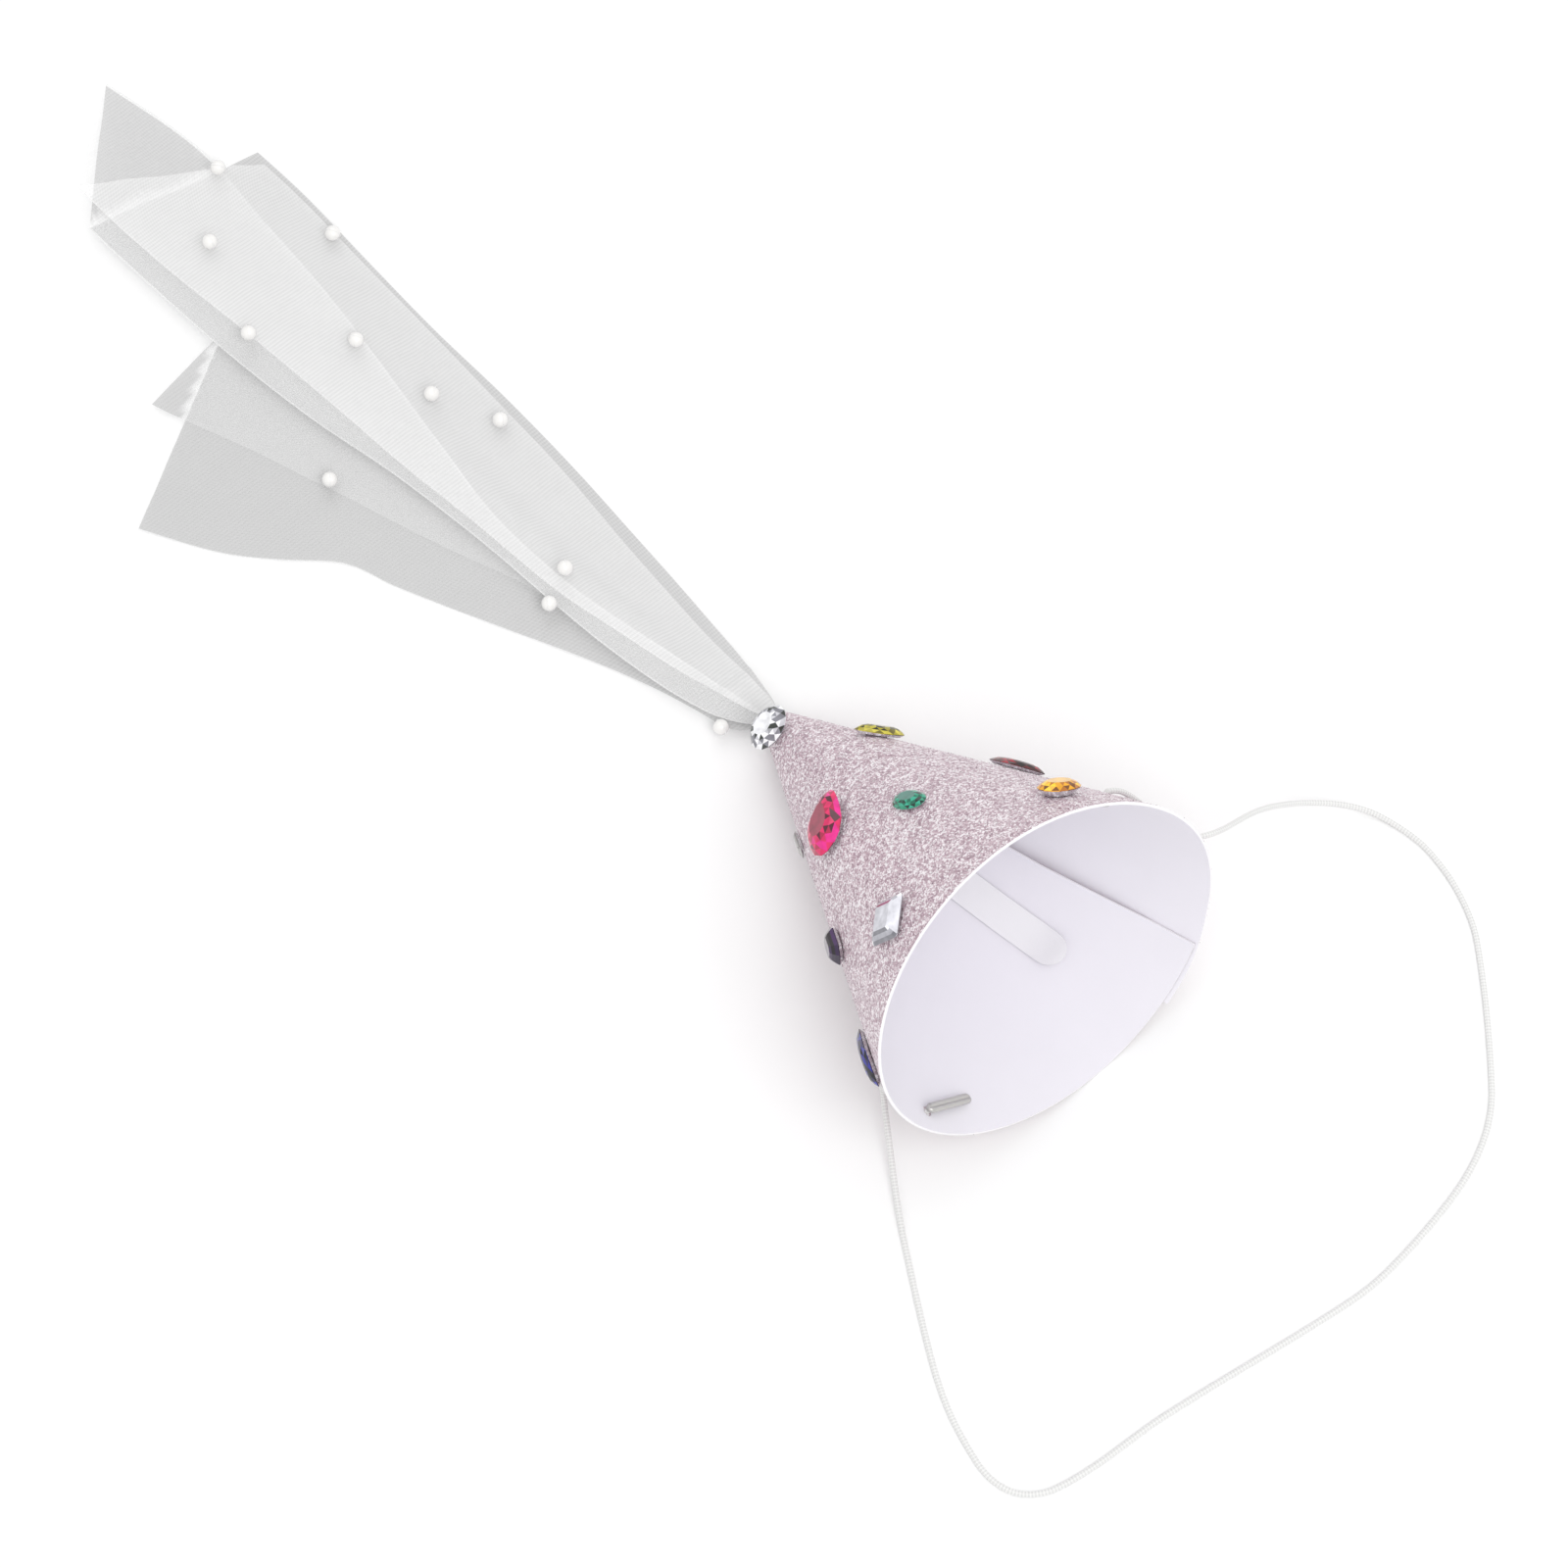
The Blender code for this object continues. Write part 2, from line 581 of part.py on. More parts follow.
def build_metal_tips(group):
    """Straight tips inside the wall, far enough in that their ends are clear of its curve."""
    material = make_material("steel tip", (0.62, 0.60, 0.57), 0.3, 1.0)
    for name, slant, angle, skew in METAL_TIPS:
        mesh = grooved_bar(name, METAL_TIP, METAL_TIP_WIDTH, METAL_TIP_HIGH)
        tip = make_object(name, mesh, group, material)
        normal = wall_normal(slant, angle)
        rim_side = wall_direction(angle).cross(normal)
        along = Matrix.Rotation(math.radians(skew), 3, normal) @ rim_side
        curve = METAL_TIP ** 2 / 8.0 / (slant * math.sin(math.radians(HALF_ANGLE)))
        place = wall_point(slant, angle) - normal * (CARD + GAP + METAL_TIP_HIGH / 2 + curve)
        tip.matrix_world = Matrix.Translation(place * MM) @ frame_from(-normal, along).to_4x4()


def hole_run(hole):
    """Route points of the elastic through the wall, from its metal tip out."""
    middle = wall_point(*hole)
    normal = wall_normal(*hole)
    return [middle - normal * CORD_START, middle + normal * 0.5]


def cord_route():
    origin = Vector((TIP_X, TIP_Y, 0.0))
    route = hole_run(NEAR_HOLE)
    route += [origin + Vector(p) for p in CORD_NEAR]
    route += [origin + Vector((x, y, CORD / 2)) for x, y in CORD_LAID]
    route += [origin + Vector(p) for p in CORD_FAR]
    for slant, angle, off in CORD_WALL:
        route.append(wall_point(slant, angle) + wall_normal(slant, angle) * off)
    route += reversed(hole_run(FAR_HOLE))
    return route


def smooth_line(route, per_span):
    """Points on a curve through the route."""
    points = []
    for i in range(len(route) - 1):
        before = route[max(0, i - 1)]
        a, b = route[i], route[i + 1]
        after = route[min(len(route) - 1, i + 2)]
        reach = (b - a).length
        slope_a = (b - before) / max(1e-6, (b - a).length + (a - before).length) * reach
        slope_b = (after - a) / max(1e-6, (after - b).length + (b - a).length) * reach
        for k in range(per_span):
            t = k / per_span
            points.append(a * (2 * t ** 3 - 3 * t ** 2 + 1) + slope_a * (t ** 3 - 2 * t ** 2 + t)
                          + b * (3 * t ** 2 - 2 * t ** 3) + slope_b * (t ** 3 - t ** 2))
    points.append(route[-1])
    return points


def build_cord(group):
    points = smooth_line(cord_route(), 2)
    curve = bpy.data.curves.new("elastic_cord", "CURVE")
    curve.dimensions = "3D"
    curve.bevel_depth = CORD / 2 * MM
    curve.bevel_resolution = 2
    curve.use_fill_caps = True
    spline = curve.splines.new("POLY")
    spline.points.add(len(points) - 1)
    for target, point in zip(spline.points, points):
        target.co = (point.x * MM, point.y * MM, max(point.z, CORD / 2) * MM, 1.0)
    return make_object("elastic_cord", curve, group, make_material("white elastic", (0.88, 0.88, 0.87), 0.7))


def main():
    clear_scene()
    parts = make_collection("paper_party_hat")
    cutters = make_collection("cutters")
    build_card(parts, cutters)
    build_tongue(parts)
    panels = build_veil(parts)
    build_pearls(parts, panels)
    build_stones(parts)
    build_metal_tips(parts)
    build_cord(parts)


main()
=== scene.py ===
"""Looks of the paper party hat, which lies on its side on a pale floor.

Tables are in millimetres and degrees in the part's own frame: +X from the veil to the mouth, +Z up.
"""
import math
import random

import bmesh
import bpy
from mathutils import Matrix, Vector
from mathutils.bvhtree import BVHTree


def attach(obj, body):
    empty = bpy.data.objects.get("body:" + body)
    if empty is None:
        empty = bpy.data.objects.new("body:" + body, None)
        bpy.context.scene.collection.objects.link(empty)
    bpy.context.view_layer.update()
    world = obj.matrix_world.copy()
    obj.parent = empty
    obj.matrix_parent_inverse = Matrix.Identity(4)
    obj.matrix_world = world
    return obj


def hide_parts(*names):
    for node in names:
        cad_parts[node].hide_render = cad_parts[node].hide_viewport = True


bl_info = {
    "name": "Paper party hat",
    "version": (1, 0, 0),
    "blender": (4, 5, 0),
    "location": "View3D > Sidebar > Party hat",
    "description": "Builds a glitter card party hat with glued stones, a sheer veil and a chin elastic",
    "category": "Add Mesh",
}

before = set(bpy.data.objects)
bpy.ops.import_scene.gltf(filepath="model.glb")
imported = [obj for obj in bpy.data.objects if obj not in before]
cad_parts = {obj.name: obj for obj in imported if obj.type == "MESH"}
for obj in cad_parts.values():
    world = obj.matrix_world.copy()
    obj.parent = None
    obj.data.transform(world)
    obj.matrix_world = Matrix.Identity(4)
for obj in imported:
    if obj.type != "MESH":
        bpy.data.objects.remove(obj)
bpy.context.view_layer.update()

MM = 0.001

# Card cone
TIP_X, TIP_Y = 65.7, 23.4    # place of its imagined point on the floor
TIP_CUT = 12.0               # slant at which the point is cut off
HALF_ANGLE = 22.6
OVAL, EGG_TOP, EGG_SIDE = -0.9, 0.25, 0.15
AXIS_LIFT = 22.49
SEAM, LAP, LAP_RAMP = 129.6, 19.2, 26.0
LAP_SLIP = 1.2
LAP_GAP = 0.3
SEAM_LIFT, SEAM_LIFT_AT, SEAM_LIFT_SPAN = 2.2, 96.0, 34.0
CORD_HOLE = 3.0
NEAR_HOLE = (137.4, -118.2)
FAR_HOLE = (125.3, 59.4)

# Locking tongue
TONGUE_FROM, TONGUE_TO, TONGUE_WIDTH = 50.0, 115.2, 10.2
TONGUE_ANGLE, TONGUE_DRIFT = 156.8, 0.12
TONGUE_CURL = 2.6            # the loose end stands off the wall this far

# Veil: height of a layer and how the neck presses it
LAYER = 1.3
NECK_SQUEEZE, NECK_LIFT, NECK_CLEAR = 0.40, 2.75, 0.2
NECK_START, NECK_END, NECK_FREE = -9.0, -15.0, 30.0

UPPER_COLUMNS = ("along", "right_edge", "inner_edge", "top_fold", "low_fold", "bottom_fold")
UPPER_ROWS = (
    (-15.0, 2.0, 1.9, -0.6, -0.2, -2.0),
    (-9.0, 2.0, 1.9, -0.6, -0.2, -2.0),
    (-4.0, 3.6, 3.0, -1.8, -2.6, -6.8),
    (2.0, 4.4, 3.0, -3.4, -5.0, -11.0),
    (8.0, 5.0, 2.8, -5.0, -7.0, -13.6),
    (20.0, 5.8, 2.4, -8.4, -11.4, -17.4),
    (40.0, 6.2, 2.2, -14.2, -17.0, -22.0),
    (60.0, 6.2, 2.2, -19.0, -22.4, -25.2),
    (90.0, 6.0, 2.8, -22.2, -27.2, -29.6),
    (120.0, 4.6, 1.8, -20.2, -32.4, -35.6),
    (150.0, 2.2, 0.6, -17.4, -36.6, -43.4),
    (180.0, 0.8, -0.8, -15.6, -41.2, -49.0),
    (210.0, -0.4, -2.2, -15.6, -46.4, -53.0),
    (240.0, -3.6, -5.4, -15.8, -50.2, -56.0),
    (276.0, -8.0, -10.0, -24.2, -52.0, -58.0),
)
UPPER_ENDS = {"right_edge": 229.0, "inner_edge": 224.0, "top_fold": 275.0, "low_fold": 250.0,
              "bottom_fold": 239.0}
UPPER_ORDER = ("right_edge", "bottom_fold", "top_fold", "low_fold", "inner_edge")

LOWER_COLUMNS = ("along", "cut_edge", "back_fold", "front_edge")
LOWER_ROWS = (
    (-15.0, -1.9, 1.6, -1.7),
    (-9.0, -1.9, 1.6, -1.7),
    (-4.0, -9.4, -0.6, -4.4),
    (2.0, -12.4, -4.0, -7.0),
    (8.0, -14.2, -8.0, -9.4),
    (20.0, -18.4, -12.8, -14.4),
    (33.0, -24.2, -16.6, -18.6),
    (48.0, -32.0, -20.0, -22.2),
    (68.0, -43.0, -22.8, -27.2),
    (93.0, -56.2, -26.2, -38.2),
    (108.0, -63.2, -29.4, -44.4),
    (121.0, -77.0, -32.0, -49.4),
    (133.0, -88.2, -35.0, -54.4),
    (154.0, -102.0, -40.6, -63.0),
    (183.0, -120.0, -45.4, -76.0),
    (200.0, -130.0, -47.6, -80.0),
)
LOWER_ENDS = {"cut_edge": 154.0, "back_fold": 188.0, "front_edge": 182.5}
LOWER_ORDER = ("cut_edge", "back_fold", "front_edge")

# How bright each layer of cloth is and how much it covers, from the lowest up. The grey of the lowest layer
# is painted shade, seen where the cloth lies in one layer; the white of the upper layers is the cloth's
# own.
LAYER_COLUMNS = ("cloth_tone_and_painted_shade", "cover")
UPPER_LAYERS = ((0.58, 0.90), (0.97, 0.235), (0.97, 0.11), (0.97, 0.34))
LOWER_LAYERS = ((0.58, 0.90), (0.97, 0.155))
END_BLEND = 1.6              # past the end of the bottom layer, the next one takes its look over this

# Pearls by their place along and across the veil
PEARL_COLUMNS = ("node", "along", "across")
PEARLS = (
    ("pearl_end", 229.2, -15.9),
    ("pearl_right_far", 191.9, -2.4),
    ("pearl_bright_far", 210.5, -32.7),
    ("pearl_fold_far", 179.4, -42.0),
    ("pearl_bright_mid", 158.9, -18.8),
    ("pearl_right_mid", 131.8, -12.3),
    ("pearl_right_near", 113.3, -1.8),
    ("pearl_lower", 129.7, -51.2),
    ("pearl_fold_near", 58.9, -26.9),
    ("pearl_bright_near", 63.4, -17.4),
    ("pearl_neck", -0.6, -12.8),
)

# Stones: place on the wall, turn of the long side from the slant line, tilt about the long side
STONE_COLUMNS = ("node", "cut", "long", "wide", "high", "slant", "angle", "turn", "tilt", "seed")
STONES = (
    ("stone_ruby_drop", "drop", 19.4, 14.0, 4.3, 75.4, -36.6, 134.0, 6.0, 3),
    ("stone_green_oval", "oval", 11.4, 7.2, 2.6, 98.0, -4.4, 23.0, 0.0, 5),
    ("stone_olive_navette", "navette", 15.0, 7.6, 2.7, 50.0, 45.2, 66.0, 0.0, 2),
    ("stone_dark_red", "navette", 17.8, 8.8, 2.4, 93.6, 61.5, 5.5, 0.0, 4),
    ("stone_amber_oval", "high oval", 12.6, 8.8, 3.6, 130.0, 30.0, 82.0, 0.0, 6),
    ("stone_clear_step", "step", 12.4, 11.6, 3.0, 128.0, -37.4, 135.0, 0.0, 1),
    ("stone_violet_octagon", "octagon", 10.8, 7.6, 3.3, 102.0, -71.0, -2.0, 0.0, 7),
    ("stone_navy_navette", "navette", 20.0, 8.6, 2.9, 129.4, -90.0, 1.5, 0.0, 8),
    ("stone_grey_small", "step", 8.0, 4.0, 1.4, 56.2, -82.0, 9.0, 0.0, 9),
)
TIP_STONE_PLACE = (13.1, -4.9, 14.6)
TIP_STONE_FACES = (-0.36, -0.34, 0.87)
TIP_STONE_LONG = (-0.32, 0.93, 0.2)
TIP_STONE_SIZE = (13.8, 10.0, 4.8)

# Facet colours of each stone, darkest first, then its table. Light and dark facets are painted reflections
# and painted glints over the stone's own hue; the clear stones are all painted reflection.
STONE_HUES_AND_PAINTED_GLINTS = {
    "stone_ruby_drop": ((0.08, 0.0, 0.015), (0.42, 0.005, 0.06), (0.72, 0.01, 0.12), (0.80, 0.01, 0.26),
                        (0.30, 0.02, 0.06)),
    "stone_green_oval": ((0.0, 0.02, 0.015), (0.0, 0.12, 0.07), (0.01, 0.28, 0.16), (0.03, 0.40, 0.26),
                         (0.05, 0.20, 0.16)),
    "stone_olive_navette": ((0.02, 0.018, 0.0), (0.16, 0.13, 0.01), (0.42, 0.36, 0.02), (0.62, 0.54, 0.05),
                            (0.30, 0.26, 0.03)),
    "stone_dark_red": ((0.01, 0.002, 0.002), (0.05, 0.004, 0.006), (0.13, 0.01, 0.015), (0.40, 0.01, 0.03),
                       (0.08, 0.01, 0.012)),
    "stone_amber_oval": ((0.18, 0.06, 0.005), (0.50, 0.17, 0.01), (0.86, 0.40, 0.01), (0.95, 0.62, 0.02),
                         (0.90, 0.48, 0.01)),
    "stone_clear_step": ((0.22, 0.22, 0.25), (0.45, 0.45, 0.50), (0.72, 0.72, 0.78), (0.95, 0.95, 0.98),
                         (0.62, 0.62, 0.68)),
    "stone_violet_octagon": ((0.008, 0.002, 0.008), (0.015, 0.004, 0.03), (0.03, 0.008, 0.06),
                             (0.05, 0.012, 0.09), (0.03, 0.006, 0.055)),
    "stone_navy_navette": ((0.003, 0.003, 0.008), (0.006, 0.006, 0.02), (0.02, 0.015, 0.10),
                           (0.03, 0.03, 0.34), (0.01, 0.008, 0.03)),
    "stone_grey_small": ((0.20, 0.18, 0.18), (0.38, 0.36, 0.36), (0.52, 0.52, 0.50), (0.72, 0.72, 0.70),
                         (0.46, 0.44, 0.44)),
    "stone_clear_tip": ((0.03, 0.035, 0.03), (0.22, 0.22, 0.25), (0.58, 0.58, 0.62), (0.95, 0.95, 0.97),
                        (0.90, 0.90, 0.93)),
}

STONE_SLOTS = {
    "stone_ruby_drop": "ruby_stone", "stone_green_oval": "green_stone",
    "stone_olive_navette": "olive_stone", "stone_dark_red": "dark_red_stone",
    "stone_amber_oval": "amber_stone", "stone_clear_step": "clear_stone",
    "stone_violet_octagon": "violet_stone", "stone_navy_navette": "navy_stone",
    "stone_grey_small": "grey_stone", "stone_clear_tip": "clear_stone",
}

# Metal tips of the elastic
METAL_TIP, METAL_TIP_WIDTH, METAL_TIP_HIGH = 19.4, 3.1, 2.2
METAL_TIPS = (
    ("metal_tip_near", 135.5, -127.3, -12.0),
    ("metal_tip_far", 127.2, 49.4, 15.0),
)

# Elastic: the route of part.py
CORD = 1.6
CORD_START = 1.1
CORD_NEAR = (
    (126.6, -48.0, 24.8), (123.4, -49.0, 22.8), (114.2, -47.6, 16.4), (111.2, -47.0, 12.8),
    (111.4, -46.8, 9.6), (114.4, -48.6, 7.2), (136.0, -62.2, 1.9),
)
CORD_LAID = (
    (146.0, -68.0), (175.0, -83.0), (189.0, -88.6),
    (203.0, -91.6), (209.5, -91.8), (215.4, -90.0), (219.6, -86.4), (222.6, -80.6), (224.8, -68.0),
    (226.4, -46.0), (235.0, 14.0), (235.0, 30.0), (230.6, 57.0), (224.4, 72.6),
    (215.4, 83.6), (182.0, 109.0), (168.0, 114.8), (154.0, 116.6), (144.4, 115.2),
)
CORD_FAR = (
    (135.2, 111.6, 1.6), (128.6, 106.0, 3.6), (123.2, 98.2, 7.4), (119.8, 89.6, 13.4),
    (118.4, 81.0, 20.4), (118.2, 62.4, 34.8),
)
CORD_WALL = ((130.4, 98.0, 2.4), (129.6, 88.0, 1.3), (128.4, 77.0, 1.3), (126.4, 66.0, 1.8))

# Camera, in metres
CAMERA_PLACE = (0.4057, -0.2473, 1.1276)
CAMERA_AIM = (0.0895, 0.0144, 0.0)
CAMERA_UP = (-0.7241, 0.5990, 0.3420)
CAMERA_SENSOR = 36.0


class PartyHatCard(bpy.types.PropertyGroup):
    """Sizes and colours of the card cone and its glitter"""
    slant: bpy.props.FloatProperty(name="Slant", description="From the imagined point to the rim, mm",
                                   default=143.7, min=100.0, max=180.0)
    thickness: bpy.props.FloatProperty(name="Thickness", description="Thickness of the card, mm",
                                       default=0.8, min=0.3, max=1.2)
    flake_count: bpy.props.FloatProperty(name="Flakes", description="Loose glitter flakes in a square cm",
                                         default=48.0, min=0.0, max=70.0)
    flake_radius: bpy.props.FloatProperty(name="Flake radius", description="Radius of a flake",
                                          default=0.00022, min=0.0001, max=0.0006, unit="LENGTH")
    base: bpy.props.FloatVectorProperty(name="Card colour", description="Pink under the glitter",
                                        default=(0.60, 0.46, 0.515), size=3, subtype="COLOR")
    dark: bpy.props.FloatVectorProperty(name="Shade colour", description="Mauve between the flecks",
                                        default=(0.40, 0.27, 0.33), size=3, subtype="COLOR")
    bright: bpy.props.FloatVectorProperty(name="Fleck colour", description="Silver-white flecks",
                                          default=(0.95, 0.90, 0.93), size=3, subtype="COLOR")
    inside: bpy.props.FloatVectorProperty(name="Inside colour", description="Plain side of the card",
                                          default=(0.84, 0.82, 0.87), size=3, subtype="COLOR")


class PartyHatVeil(bpy.types.PropertyGroup):
    """Sizes and colours of the veil and its pearls"""
    rib_pitch: bpy.props.FloatProperty(name="Rib pitch", description="Distance between ribs of the weave",
                                       default=0.0011, min=0.0003, max=0.003, unit="LENGTH")
    ripple: bpy.props.FloatProperty(name="Ripple", description="Height of the soft waves in the cloth, mm",
                                    default=0.5, min=0.0, max=3.0)
    pearl: bpy.props.FloatProperty(name="Pearl", description="Diameter of a pearl",
                                   default=0.0046, min=0.003, max=0.007, unit="LENGTH")
    pearl_colour: bpy.props.FloatVectorProperty(name="Pearl colour", description="Colour of the pearls",
                                                default=(0.90, 0.89, 0.87), size=3, subtype="COLOR")


class PartyHatTrim(bpy.types.PropertyGroup):
    """Finish of the stones, the metal tips and the elastic"""
    stone_roughness: bpy.props.FloatProperty(name="Stone roughness", description="Polish of the facets",
                                             default=0.06, min=0.0, max=1.0)
    foil: bpy.props.FloatVectorProperty(name="Foil colour", description="Silvered back of the stones",
                                        default=(0.80, 0.80, 0.82), size=3, subtype="COLOR")
    metal: bpy.props.FloatVectorProperty(name="Metal colour", description="Crimped tips of the elastic",
                                         default=(0.55, 0.54, 0.52), size=3, subtype="COLOR")
    elastic: bpy.props.FloatVectorProperty(name="Elastic colour", description="Knitted cover",
                                           default=(0.86, 0.86, 0.85), size=3, subtype="COLOR")
    elastic_rib: bpy.props.FloatProperty(name="Elastic rib", description="Pitch of the knitted cover",
                                         default=0.0009, min=0.0004, max=0.003, unit="LENGTH")


class PartyHatStage(bpy.types.PropertyGroup):
    """Floor, camera and light"""
    lens: bpy.props.FloatProperty(name="Lens", description="Focal length, mm",
                                  default=98.2, min=35.0, max=200.0)
    floor: bpy.props.FloatVectorProperty(name="Floor colour", description="Plain pale floor",
                                         default=(0.93, 0.93, 0.93), size=3, subtype="COLOR")
    key: bpy.props.FloatProperty(name="Key light", description="Power of the large soft light, W",
                                 default=10.0, min=0.0, max=100.0)
    sky: bpy.props.FloatProperty(name="Ambient", description="Strength of the even light from all sides",
                                 default=0.84, min=0.0, max=3.0)


def smooth_step(value):
    value = min(1.0, max(0.0, value))
    return value * value * (3.0 - 2.0 * value)


def interpolate(rows, columns, column, along):
    """Read one column of a table at a place between its rows, on a smooth curve."""
    index = columns.index(column)
    last = len(rows) - 1
    for i in range(last):
        if along <= rows[i + 1][0] or i == last - 1:
            break
    a, b = rows[i], rows[i + 1]
    before, after = rows[max(0, i - 1)], rows[min(last, i + 2)]
    span = b[0] - a[0]
    t = (along - a[0]) / span
    slope_a = (b[index] - before[index]) / (b[0] - before[0]) * span
    slope_b = (after[index] - a[index]) / (after[0] - a[0]) * span
    return ((2 * t ** 3 - 3 * t ** 2 + 1) * a[index] + (t ** 3 - 2 * t ** 2 + t) * slope_a
            + (3 * t ** 2 - 2 * t ** 3) * b[index] + (t ** 3 - t ** 2) * slope_b)


def wall_direction(angle, extra=0.0):
    """Unit vector from the imagined point along the wall; extra degrees lean it off the axis."""
    turn = math.radians(angle)
    half = math.radians(HALF_ANGLE + OVAL * math.sin(2 * turn) + EGG_TOP * math.cos(3 * turn)
                        + EGG_SIDE * math.sin(3 * turn) + extra)
    lift = math.radians(AXIS_LIFT)
    axis = Vector((math.cos(lift), 0.0, math.sin(lift)))
    up = Vector((-math.sin(lift), 0.0, math.cos(lift)))
    side = Vector((0.0, 1.0, 0.0))
    return axis * math.cos(half) + (up * math.cos(turn) + side * math.sin(turn)) * math.sin(half)


def wall_point(slant, angle, depth=0.0):
    """A point on the outside of the cone, or depth millimetres inside it."""
    place = wall_direction(angle, -math.degrees(depth / slant)) * slant
    return Vector((place.x + TIP_X, place.y + TIP_Y, place.z))


def wall_normal(slant, angle):
    across = wall_point(slant, angle + 0.5) - wall_point(slant, angle - 0.5)
    normal = across.cross(wall_direction(angle))
    if normal.dot(wall_direction(angle) - wall_direction(angle + 180.0)) < 0.0:
        normal = -normal
    return normal.normalized()


def layer_depth(slant, turned, thickness):
    """How far inside the outer face the card runs, at an angle past the seam edge."""
    depth = (thickness + LAP_GAP) * (1.0 - smooth_step((turned - LAP - 4.0) / LAP_RAMP))
    spring = SEAM_LIFT * max(0.0, 1.0 - abs(slant - SEAM_LIFT_AT) / SEAM_LIFT_SPAN) ** 0.8
    return depth + spring * max(0.0, 1.0 - turned / (LAP * 1.3)) ** 1.5


def link(name, mesh, *materials):
    """A new object at the origin with its place in its mesh."""
    item = bpy.data.objects.new(name, mesh)
    for material in materials:
        mesh.materials.append(material)
    bpy.context.scene.collection.objects.link(item)
    return item


def finish_piece(item, slot, *nodes):
    """The piece rides on the part's one body and stands for these nodes."""
    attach(item, "root")
    if nodes:
        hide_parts(*nodes)
    return item


def shell_mesh(name, faces_out, faces_in):
    """A closed wall between two grids: material 0 outside, 1 inside, 2 on the cut edges."""
    mesh = bpy.data.meshes.new(name)
    bm = bmesh.new()
    grids = [[[bm.verts.new(Vector(p) * MM) for p in row] for row in rows]
             for rows in (faces_out, faces_in)]
    out, inn = grids
    count, width = len(out), len(out[0])
    for j in range(count - 1):
        for i in range(width - 1):
            face = bm.faces.new((out[j][i], out[j][i + 1], out[j + 1][i + 1], out[j + 1][i]))
            face.material_index = 0
            face = bm.faces.new((inn[j][i], inn[j + 1][i], inn[j + 1][i + 1], inn[j][i + 1]))
            face.material_index = 1
    border = [(0, i) for i in range(width)] + [(j, width - 1) for j in range(1, count)]
    border += [(count - 1, i) for i in range(width - 2, -1, -1)] + [(j, 0) for j in range(count - 2, 0, -1)]
    for k, (j, i) in enumerate(border):
        nj, ni = border[(k + 1) % len(border)]
        face = bm.faces.new((out[j][i], inn[j][i], inn[nj][ni], out[nj][ni]))
        face.material_index = 2
    bmesh.ops.recalc_face_normals(bm, faces=bm.faces)
    bm.to_mesh(mesh)
    bm.free()
    mesh.shade_smooth()
    mesh.set_sharp_from_angle(angle=math.radians(35.0))
    return mesh


def plain_copy(item, name):
    """The evaluated object as a plain mesh in a new object, and the first one is removed."""
    evaluated = item.evaluated_get(bpy.context.evaluated_depsgraph_get())
    mesh = bpy.data.meshes.new_from_object(evaluated)
    mesh.name = name
    bpy.data.objects.remove(item, do_unlink=True)
    made = bpy.data.objects.new(name, mesh)
    bpy.context.scene.collection.objects.link(made)
    return made


def set_input(item, modifier, label, value):
    """Set a Geometry Nodes input by the name that the tree gives it."""
    for socket in modifier.node_group.interface.items_tree:
        if socket.item_type == "SOCKET" and socket.in_out == "INPUT" and socket.name == label:
            modifier[socket.identifier] = value
            return
    raise RuntimeError(f"{item.name}: its tree has no input {label}")


def new_tree(kind, name, inputs, outputs):
    """A node group with named inputs and outputs, and its two end nodes."""
    tree = bpy.data.node_groups.new(name, kind)
    for label, socket_type, default in inputs:
        socket = tree.interface.new_socket(label, in_out="INPUT", socket_type=socket_type)
        if default is not None:
            socket.default_value = default
    for label, socket_type in outputs:
        tree.interface.new_socket(label, in_out="OUTPUT", socket_type=socket_type)
    return tree, tree.nodes.new("NodeGroupInput"), tree.nodes.new("NodeGroupOutput")


def add(tree, kind, **values):
    """A new node in the tree, with these settings."""
    node = tree.nodes.new(kind)
    for key, value in values.items():
        setattr(node, key, value)
    return node


def math_node(tree, operation, first, second=None):
    node = add(tree, "ShaderNodeMath", operation=operation)
    for socket, value in zip(node.inputs, (first, second)):
        if isinstance(value, (int, float)):
            socket.default_value = value
        elif value is not None:
            tree.links.new(value, socket)
    return node.outputs[0]


def ramp_node(tree, source, stops, interpolation="LINEAR"):
    """Colours by position, as (position, colour) pairs."""
    node = add(tree, "ShaderNodeValToRGB")
    node.color_ramp.interpolation = interpolation
    elements = node.color_ramp.elements
    while len(elements) < len(stops):
        elements.new(0.5)
    for element, (position, colour) in zip(elements, stops):
        element.position = position
        element.color = (*colour, 1.0)
    tree.links.new(source, node.inputs["Fac"])
    return node.outputs["Color"]


def new_material(name, colour, roughness, metallic=0.0):
    material = bpy.data.materials.new(name)
    material.use_nodes = True
    shader = material.node_tree.nodes["Principled BSDF"]
    shader.inputs["Base Color"].default_value = (*colour, 1.0)
    shader.inputs["Roughness"].default_value = roughness
    shader.inputs["Metallic"].default_value = metallic
    return material, material.node_tree, shader


def place_group(tree, group, **values):
    node = add(tree, "ShaderNodeGroup", node_tree=group)
    for label, value in values.items():
        node.inputs[label.replace("_", " ")].default_value = value
    return node


